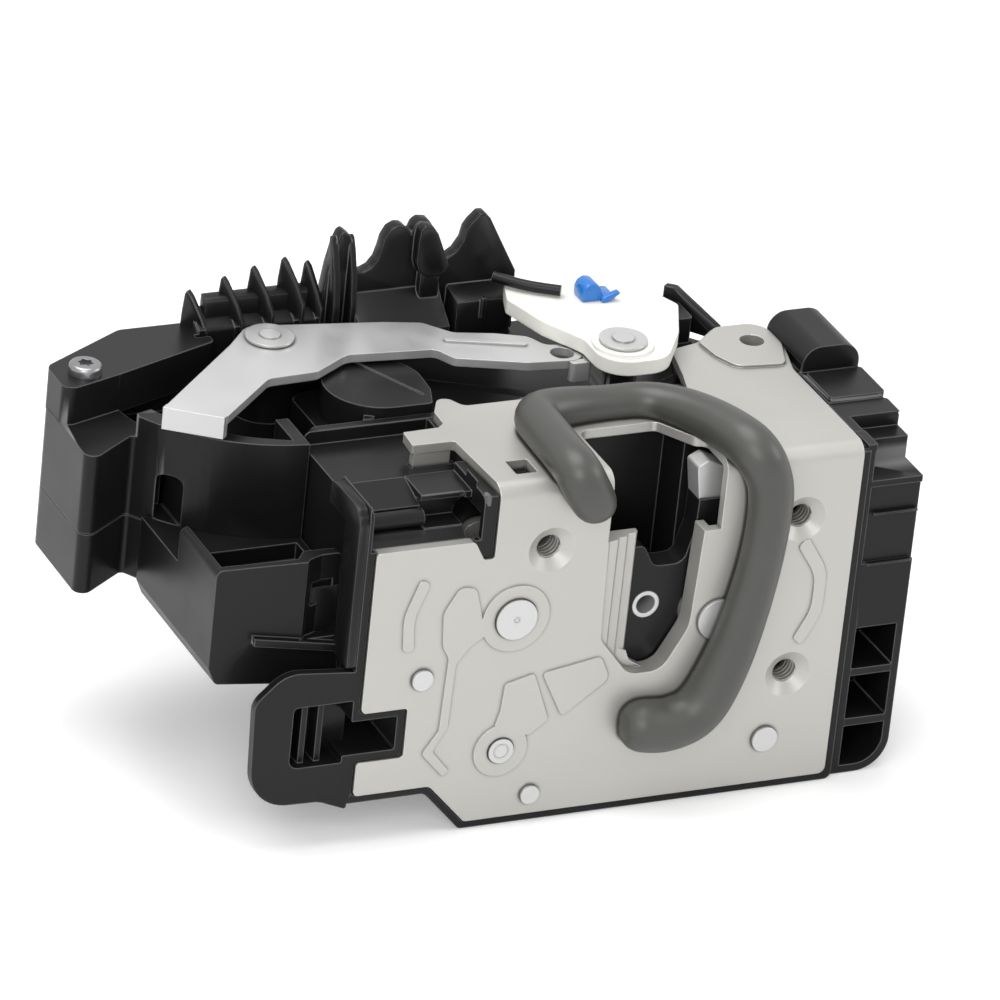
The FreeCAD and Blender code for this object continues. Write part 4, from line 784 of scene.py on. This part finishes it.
@dataclass
class FixingThreads:
    """The cut threads inside the plate's three drawn holes."""

    bore: float = 2.5 * MM
    crest: float = 0.28 * MM
    crest_reach: float = 1.2
    crest_rise: float = 0.7
    pitch: float = 1.0 * MM
    turns: int = 5
    start: float = 1.8 * MM
    steps: int = 28

    def build(self, workshop: Workshop) -> None:
        """Models one helical ridge per thread mount.

        Args:
            workshop: Gives the finish and the body.
        """
        for mount in frame["record"]["mounts"]:
            if mount["kind"] == "threaded_hole":
                x, _, z = mount["pos_m"]
                ridge = self._ridge(mount["name"] + "_ridge", x, z)
                workshop.add(ridge, "housing", Look.ZINC)

    def _ridge(self, name: str, x: float, z: float) -> bpy.types.Object:
        """Winds a small triangle round the axis of a hole.

        Args:
            name: The ridge's name.
            x: The axis's place along X.
            z: The axis's place along Z.

        Returns:
            The new piece.
        """
        bpy.ops.object.select_all(action="DESELECT")
        bpy.ops.mesh.primitive_circle_add(
            vertices=3, radius=self.crest * self.crest_reach, fill_type="NOTHING")
        ridge = bpy.context.object
        ridge.name = name
        for vertex in ridge.data.vertices:
            along, out = vertex.co.x, vertex.co.y
            vertex.co = Vector((self.bore - out * self.crest_rise, 0.0, along))
        screw = ridge.modifiers.new("screw", "SCREW")
        screw.axis = "Z"
        screw.angle = 2 * math.pi * self.turns
        screw.screw_offset = self.pitch * self.turns
        screw.steps = self.steps * self.turns
        screw.render_steps = self.steps * self.turns
        bpy.ops.object.modifier_apply(modifier=screw.name)
        into_plate = Matrix.Rotation(math.radians(-90), 4, "X")
        ridge.data.transform(Matrix.Translation((x, self.start, z)) @ into_plate)
        Bench.outward()
        return ridge


@dataclass
class RubberHook:
    """The moulded rubber over the flange and down the face.

    Its line runs from the left end, over the flange and down the face. The metal that it
    sits on is cut out of it, with the round bend between the face and the flange.
    """

    line: tuple[tuple[float, float, float, float], ...] = (
        (8.4, -3.0, 7.8, 0.3), (8.3, -3.0, 8.1, 2.4), (7.6, -3.0, 9.4, 3.9),
        (6.2, -3.0, 11.6, 4.5), (4.0, -3.0, 15.2, 4.7), (2.6, -2.6, 18.0, 4.6),
        (2.6, 4.0, 18.4, 4.4), (3.0, 14.0, 18.2, 4.4), (3.6, 21.8, 18.0, 4.4),
        (11.0, 23.9, 17.6, 4.1), (20.0, 24.2, 17.2, 3.5), (29.3, 23.9, 17.2, 3.7),
        (35.0, 17.5, 17.6, 4.2), (38.6, 8.0, 18.0, 4.7), (40.6, -2.4, 18.2, 4.8),
        (44.4, -3.0, 11.0, 4.6), (44.9, -3.0, 3.0, 4.3), (44.0, -3.0, -8.0, 4.3),
        (41.4, -3.0, -21.0, 4.6), (38.4, -2.8, -31.0, 5.0), (34.4, -2.6, -39.0, 5.2),
        (28.0, -2.4, -41.2, 5.4), (23.4, -2.4, -40.6, 5.4), (20.6, -2.5, -40.2, 5.0),
        (19.0, -2.6, -40.0, 3.6), (18.4, -2.6, -40.0, 2.0), (18.2, -2.6, -40.0, 0.3),
    )
    top: float = 15.0
    metal: Prism = Prism(
        "metal", Plane.SIDE,
        ((0.0, -70.0), (0.0, top - 3.0), (0.4, top - 1.5), (1.5, top - 0.4), (3.0, top),
         (60.0, top), (60.0, -70.0)),
        -40.0, 120.0,
    )

    def build(self, workshop: Workshop) -> None:
        """Models the rubber as one smooth tube, seated on the plate.

        Args:
            workshop: Gives the finish and the body.
        """
        rubber = Bench.tube("rubber_hook", self.line)
        Bench.cut(rubber, self.metal.make(), own_crossings=True)
        Bench.hold(rubber)
        bpy.ops.object.shade_smooth_by_angle(angle=SMOOTH_TUBE)
        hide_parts("rubber_buffer")
        workshop.add(rubber, "housing", Look.RUBBER)


@dataclass
class LatchFrame:
    """The black frame behind the plate, with its upper left shelf, bar and cheek.

    The cuts along the shelf start a little apart, so that no two share a face.
    """

    left: float = -38.0
    shelf_left: float = -25.4
    shelf_right: float = -15.0
    step: float = 15.6
    back: float = 33.8
    low_deck: float = 10.1
    high: float = 16.0
    front: float = -1.0
    apart: float = 0.01
    left_cut: Outline = (
        (front, 3.75), (2.2, 3.75), (4.5, 5.3), (7.6, 5.3), (7.6, 9.0), (step, 11.1),
        (step, high), (front, high),
    )
    shelf_cut: Outline = (
        (front, 10.0), (6.8, 10.0), (6.8, 11.3), (step, 11.3), (step, high), (front, high),
    )
    window_cut: Outline = ((front, 5.6), (9.4, 5.6), (9.4, 10.0), (front, 10.0))
    sill_cut: Outline = ((front, 3.75), (2.2, 3.75), (4.5, 5.3), (4.5, 5.7), (front, 5.7))
    cuts: tuple[Block | Prism, ...] = (
        Block("deck_cut", (left - 0.9, step, low_deck), (-12.9, back, high)),
        Prism("left_cut", Plane.SIDE, left_cut, left, shelf_left - left),
        Prism("shelf_cut", Plane.SIDE, shelf_cut, shelf_left - apart, shelf_right - shelf_left),
        Prism("window_cut", Plane.SIDE, window_cut, shelf_left - 2 * apart,
              shelf_right - shelf_left),
        Prism("sill_cut", Plane.SIDE, sill_cut, shelf_left - 3 * apart,
              shelf_right - shelf_left),
        Block("grip_cut_left", (-61.0, 2.4, -54.0), (-52.3, 7.9, -19.0)),
        Block("grip_cut_top", (-61.0, 2.4, -25.6), (-39.0, 7.9, -19.0)),
        Block("grip_cut_low", (-61.0, 2.4, -54.0), (-41.0, 7.9, -46.2)),
    )
    bar_middle: tuple[float, float] = (5.9, 7.5)
    bar_radius: float = 1.7
    bar_sides: int = 18
    bar_length: float = 12.8
    grip: Block = Block("grip_back", (-52.0, 6.4, -46.0), (-37.2, 7.6, -25.8), 0.25)
    cheek: Prism = Prism(
        "frame_cheek", Plane.SIDE,
        ((0.6, -21.0), (0.6, 9.6), (1.3, 11.4), (2.6, 12.6), (4.4, 13.1), (11.0, 13.1),
         (14.4, 12.8), (15.4, 11.6), (15.4, 7.8), (7.6, 7.8), (7.6, -21.0)),
        left - 2.9, 2.2, 0.35,
    )

    def build(self, workshop: Workshop) -> None:
        """Cuts the copied frame to its stepped form and adds the bar, the grip and the cheek.

        Args:
            workshop: Gives the finish and the body.
        """
        body = Bench.reshape("latch_frame", self.cuts, "latch_frame_shaped")
        workshop.add(body, "housing", Look.BLACK)
        for form in (self._bar(), self.grip, self.cheek):
            workshop.add(form.make(), "housing", Look.BLACK)

    def _bar(self) -> Prism:
        """Draws the round bar under the shelf.

        Returns:
            Its form, from the frame's left end to the shelf.
        """
        y, z = self.bar_middle
        turn = 360 // self.bar_sides
        rim = tuple(
            (y + self.bar_radius * math.cos(math.radians(turn * side)),
             z + self.bar_radius * math.sin(math.radians(turn * side)))
            for side in range(self.bar_sides)
        )
        return Prism("frame_bar", Plane.SIDE, rim, self.left - 0.4, self.bar_length)


@dataclass
class HookWall:
    """The tall wall at the back edge, with its horns, its saddles and the finger in front.

    The horns and the crest stand on the wall, and the skirt, the shelf and the peg in front
    of them carry the cable.
    """

    low: float = 8.02
    front: float = 74.7
    crest_shift: float = -0.8
    crest_lift: float = 0.3
    crest_limit: float = 34.55
    crest_line: Outline = (
        (-18.5, low), (-17.6, 20.0), (-16.8, 26.0), (-15.8, 30.6), (-14.9, 33.0), (-14.0, 33.6),
        (-12.6, 32.4), (-11.6, 29.6), (-11.0, 26.0), (-10.2, 24.2), (-9.2, 24.0), (-7.6, 24.8),
        (-6.4, 26.4), (-5.7, 28.8), (-5.3, 30.8), (-4.2, 32.8), (-2.6, 33.6), (-1.2, 33.4),
        (0.4, 31.8), (1.0, 33.4), (2.2, 34.4), (4.2, 34.0), (5.6, 31.8), (6.4, 27.4),
        (7.2, 25.4), (8.6, 25.0), (10.6, 26.4), (12.0, 28.6), (12.5, 31.0), (13.4, 32.4),
        (15.2, 34.3), (16.4, 34.4), (17.6, 33.0), (20.6, 27.4), (24.2, 20.8), (24.6, low),
    )
    crest_depth: float = 3.2
    crest_width: float = 0.45
    horn: Outline = (
        (front - 3.6, low), (front - 3.4, 19.0), (front - 2.4, 25.0), (front - 0.6, 30.0),
        (front + 0.6, 32.2), (front + 1.6, 32.6), (front + 1.6, low),
    )
    finger: Outline = (
        (0.2, 26.4), (0.2, 31.0), (0.5, 33.6), (1.5, 34.5), (3.2, 34.2), (4.6, 32.2),
        (6.4, 27.8), (7.4, 25.2), (6.8, 23.6), (5.2, 22.9), (2.6, 23.1), (0.9, 24.2),
    )
    stalk: Outline = ((1.6, 17.0), (1.6, 24.0), (6.0, 24.0), (6.0, 17.0))
    skirt: Outline = (
        (front - 7.2, low), (front - 7.2, 14.2), (front - 2.4, 17.6), (front + 0.4, 20.4),
        (front + 0.6, 20.4), (front + 0.6, low),
    )
    shelf: Outline = (
        (front - 5.8, 9.0), (front - 5.8, 18.4), (front + 0.6, 19.8), (front + 0.6, 9.0),
    )
    standing: tuple[Block | Prism, ...] = (
        Prism("horn_left", Plane.SIDE, horn, -17.4, 1.5, 0.3),
        Prism("horn_inner", Plane.SIDE, horn, -13.6, 1.3, 0.3),
        Prism("finger", Plane.FRONT, finger, front - 2.6, 2.8, 0.5),
        Prism("stalk", Plane.FRONT, stalk, front - 1.8, 2.0, 0.6),
        Prism("skirt", Plane.SIDE, skirt, -12.4, 19.0, 0.4),
        Prism("shelf", Plane.SIDE, shelf, 8.4, 12.0, 0.4),
        Block("peg", (13.4, front - 6.6, 14.6), (14.6, front - 5.4, 19.2), 0.3),
    )

    def build(self, workshop: Workshop) -> None:
        """Models the rack that the cable lies in.

        Args:
            workshop: Gives the finish and the body.
        """
        forms = (self._crest(), *self.standing)
        wall = Bench.join("hook_wall", [form.make() for form in forms])
        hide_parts("cable_rack")
        workshop.add(wall, "housing", Look.BLACK)

    def _crest(self) -> Prism:
        """Sets the crest's line in its place on the wall.

        Returns:
            The wall's form, no higher than the solid that it stands for.
        """
        line = tuple(
            (x + self.crest_shift, min(z + self.crest_lift, self.crest_limit))
            for x, z in self.crest_line
        )
        return Prism("crest", Plane.FRONT, line, self.front, self.crest_depth, self.crest_width)


@dataclass
class CaseTop:
    """The upper case with its skewed fins and the dark blocks between them.

    Each fin is drawn from its apex: along X, the place along Y, and up from the apex.
    """

    fins_cut: Prism = Prism(
        "fins_cut", Plane.SIDE,
        ((71.0, 8.6), (72.28, 8.6), (72.28, 16.7), (77.95, 19.6), (77.95, 31.0), (71.0, 31.0)),
        -46.4, 27.3,
    )
    between: tuple[Prism, ...] = (
        Prism("fin_blocks", Plane.SIDE,
              ((74.9, 14.0), (74.9, 21.4), (75.6, 22.0), (77.7, 22.2), (77.7, 14.0)),
              -43.4, 22.0, 0.3),
        Prism("fin_base", Plane.SIDE,
              ((72.4, 7.9), (72.4, 16.5), (77.8, 19.4), (77.8, 7.9)),
              -45.7, 26.5, 0.2),
    )
    apexes: Outline = ((-46.9, 23.6), (-39.6, 25.9), (-33.4, 27.5), (-27.0, 28.7), (-22.0, 27.4))
    foot: float = 15.0
    heel: tuple[float, float] = (-0.5, 77.4)
    back_edge: tuple[Place, ...] = (
        (-0.4, 77.3, -5.0), (-0.2, 76.9, -0.8), (0.0, 76.5, 0.0), (0.6, 75.7, -1.0),
    )
    front_edge: tuple[Place, ...] = ((2.2, 73.4, -5.2), (3.2, 71.9, -8.8))
    last_reach: float = 0.7
    blade_push: Place = (1.0, 0.69, 0.0)
    blade_width: float = 0.3

    def build(self, workshop: Workshop) -> None:
        """Takes the plain fins off the copied case and stands the blades on it.

        Args:
            workshop: Gives the finish and the body.
        """
        case = Bench.reshape("case_upper", (self.fins_cut,), "case_upper_shaped")
        workshop.add(case, "housing", Look.BLACK)
        for form in self.between:
            workshop.add(form.make(), "housing", Look.BLACK)
        for number, (x, top) in enumerate(self.apexes, start=1):
            workshop.add(self._blade(number, x, top), "housing", Look.BLACK)

    def _blade(self, number: int, x: float, top: float) -> bpy.types.Object:
        """Makes one fin, whose front edge reaches less far on the last one.

        Args:
            number: The fin's number from the left.
            x: Its apex's place along X.
            top: Its apex's height.

        Returns:
            The new piece.
        """
        reach = 1.0 if number < len(self.apexes) else self.last_reach
        front = [(across * reach, y, down) for across, y, down in self.front_edge]
        heel_x, heel_y = self.heel
        corners = [(x + heel_x, heel_y, self.foot)]
        corners += [(x + across, y, top + down) for across, y, down in (*self.back_edge, *front)]
        toe_x, toe_y, _ = front[-1]
        corners.append((x + toe_x, toe_y, self.foot))
        return Bench.solid(
            f"fin_blade_{number}", [Vector(corner) * MM for corner in corners],
            Vector(self.blade_push) * MM, self.blade_width)


@dataclass
class CaseBase:
    """The lower shell, whose corner box lies lower in front of the drum."""

    box_top: float = -7.8
    left: float = -64.9
    right: float = -38.9
    box_front: float = 9.6
    tray: Outline = (
        (left, box_front), (-49.0, box_front), (-46.6, 12.6), (right, 12.6), (right, 46.0),
        (-68.0, 46.0), (-68.0, 26.5), (left, 26.5),
    )
    deep: Outline = ((left, box_front), (-41.0, box_front), (-41.0, 28.0), (left, 28.0))
    hollow: Outline = ((-48.4, 7.0), (-46.4, 9.2), (-43.6, 10.4), (right, 10.6), (right, 7.0))
    cuts: tuple[Prism, ...] = (
        Prism("tray_cut", Plane.TOP, tray, box_top, 9.0),
        Prism("tray_deep", Plane.TOP, deep, -11.4, 5.0),
        Prism("front_hollow", Plane.TOP, hollow, -17.6, 18.6),
    )
    inner: Block = Block("tray_inner_wall", (-47.6, 10.3, -19.0), (-39.5, 12.6, -7.9), 0.3)

    def build(self, workshop: Workshop) -> None:
        """Cuts the corner box down in front of the drum.

        Args:
            workshop: Gives the finish and the body.
        """
        case = Bench.reshape("case_lower", self.cuts, "case_lower_shaped")
        workshop.add(case, "housing", Look.BLACK)
        workshop.add(self.inner.make(), "housing", Look.BLACK)


@dataclass
class RightBlocks:
    """The right housing with its stepped top and its front lines."""

    left: float = 66.0
    right: float = 82.0
    high: float = 22.0
    cuts: tuple[Block, ...] = (
        Block("tops_cut", (left, 20.4, 14.2), (right, 33.3, high)),
        Block("step_cut", (left, 8.0, 13.3), (right, 20.6, high)),
        Block("front_cut", (69.5, 1.0, 10.2), (right, 14.6, 16.0)),
    )
    lines: tuple[Block, ...] = (
        Block("side_line_1", (70.2, 1.5, -2.2), (80.0, 3.4, -1.7), 0.15),
        Block("side_line_2", (70.2, 1.5, -13.4), (80.0, 3.4, -12.9), 0.15),
    )

    def build(self, workshop: Workshop) -> None:
        """Cuts the copied housing's top down in steps and adds the front lines.

        Args:
            workshop: Gives the finish and the body.
        """
        body = Bench.reshape("side_housing", self.cuts, "side_housing_shaped")
        workshop.add(body, "housing", Look.BLACK)
        for line in self.lines:
            workshop.add(line.make(), "housing", Look.BLACK)


@dataclass
class RivetMarks:
    """The rings that the peening tool leaves on the rivet heads."""

    thickness: float = 0.12
    faces_around: int = 40
    faces_across: int = 8
    radii: tuple[tuple[str, float], ...] = (("pawl_rivet", 0.55), ("arm_rivet", 1.5))

    def build(self, workshop: Workshop) -> None:
        """Sets a ring on each head, half sunk in it.

        Args:
            workshop: Gives the finish and the body.
        """
        for node, radius in self.radii:
            low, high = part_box(node)
            x, z = (low[0] + high[0]) / 2, (low[2] + high[2]) / 2
            bpy.ops.object.select_all(action="DESELECT")
            bpy.ops.mesh.primitive_torus_add(
                major_segments=self.faces_around, minor_segments=self.faces_across,
                major_radius=radius * MM, minor_radius=self.thickness * MM,
                location=(0.0, 0.0, 0.0))
            ring = bpy.context.object
            ring.name = node + "_mark"
            upright = Matrix.Rotation(math.radians(90), 4, "X")
            ring.data.transform(Matrix.Translation((x, low[1], z)) @ upright)
            bpy.ops.object.shade_smooth()
            workshop.add(ring, "housing", Look.ZINC)


@dataclass
class RodClip:
    """The blue clip, a domed saddle with a spring tail that grips the rod's end."""

    level: float = 21.1
    foot: float = 17.4
    dome: Outline = (
        (30.6, level), (30.5, level + 2.0), (31.0, level + 3.2), (32.2, level + 3.9),
        (33.6, level + 3.7), (34.6, level + 2.6), (35.0, level + 1.2), (37.6, level + 0.9),
        (38.0, level),
    )
    stem: Outline = ((31.6, foot), (31.6, level + 0.3), (34.8, level + 0.3), (34.8, foot))
    tail: Outline = (
        (34.4, level), (34.4, level + 1.0), (38.0, level + 2.2), (38.4, level + 1.6),
        (36.0, level),
    )
    forms: tuple[Prism, ...] = (
        Prism("dome", Plane.FRONT, dome, 58.4, 4.6, 0.5),
        Prism("stem", Plane.FRONT, stem, 60.4, 2.6, 0.3),
        Prism("tail", Plane.FRONT, tail, 57.4, 1.4, 0.3),
    )

    def build(self, workshop: Workshop) -> None:
        """Models the clip on the white lever's body, in place of the plain one.

        Args:
            workshop: Gives the finish and the body.
        """
        clip = Bench.join("rod_clip_shaped", [form.make() for form in self.forms])
        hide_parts("rod_clip")
        workshop.add(clip, "outside_lever", Look.BLUE)


@dataclass
class LockArmWeb:
    """The tall web of the lock arm, which runs down to the right behind the ear."""

    corners: tuple[Place, ...] = (
        (52.4, 65.0, 11.6), (52.4, 65.0, 20.0), (54.2, 63.6, 20.0), (60.4, 55.0, 14.4),
        (60.4, 55.0, 11.6),
    )
    push: Place = (-1.3, -1.0, 0.0)
    width: float = 0.3

    def build(self, workshop: Workshop) -> None:
        """Adds the web along the arm's standing finger.

        Args:
            workshop: Gives the finish and the body.
        """
        corners = [Vector(corner) * MM for corner in self.corners]
        web = Bench.solid("lock_arm_web", corners, Vector(self.push) * MM, self.width)
        workshop.add(web, "lock_arm", Look.BLACK)


def main() -> None:
    """Builds the studio and every piece."""
    logging.basicConfig(level=logging.INFO, format="%(name)s: %(message)s")
    Studio().build()
    workshop = Workshop()
    workshop.dress_cad()
    for part in (FixingThreads(), RubberHook(), LatchFrame(), HookWall(), CaseTop(), CaseBase(),
                 RightBlocks(), RivetMarks(), RodClip(), LockArmWeb()):
        part.build(workshop)


if __name__ == "__main__":
    main()
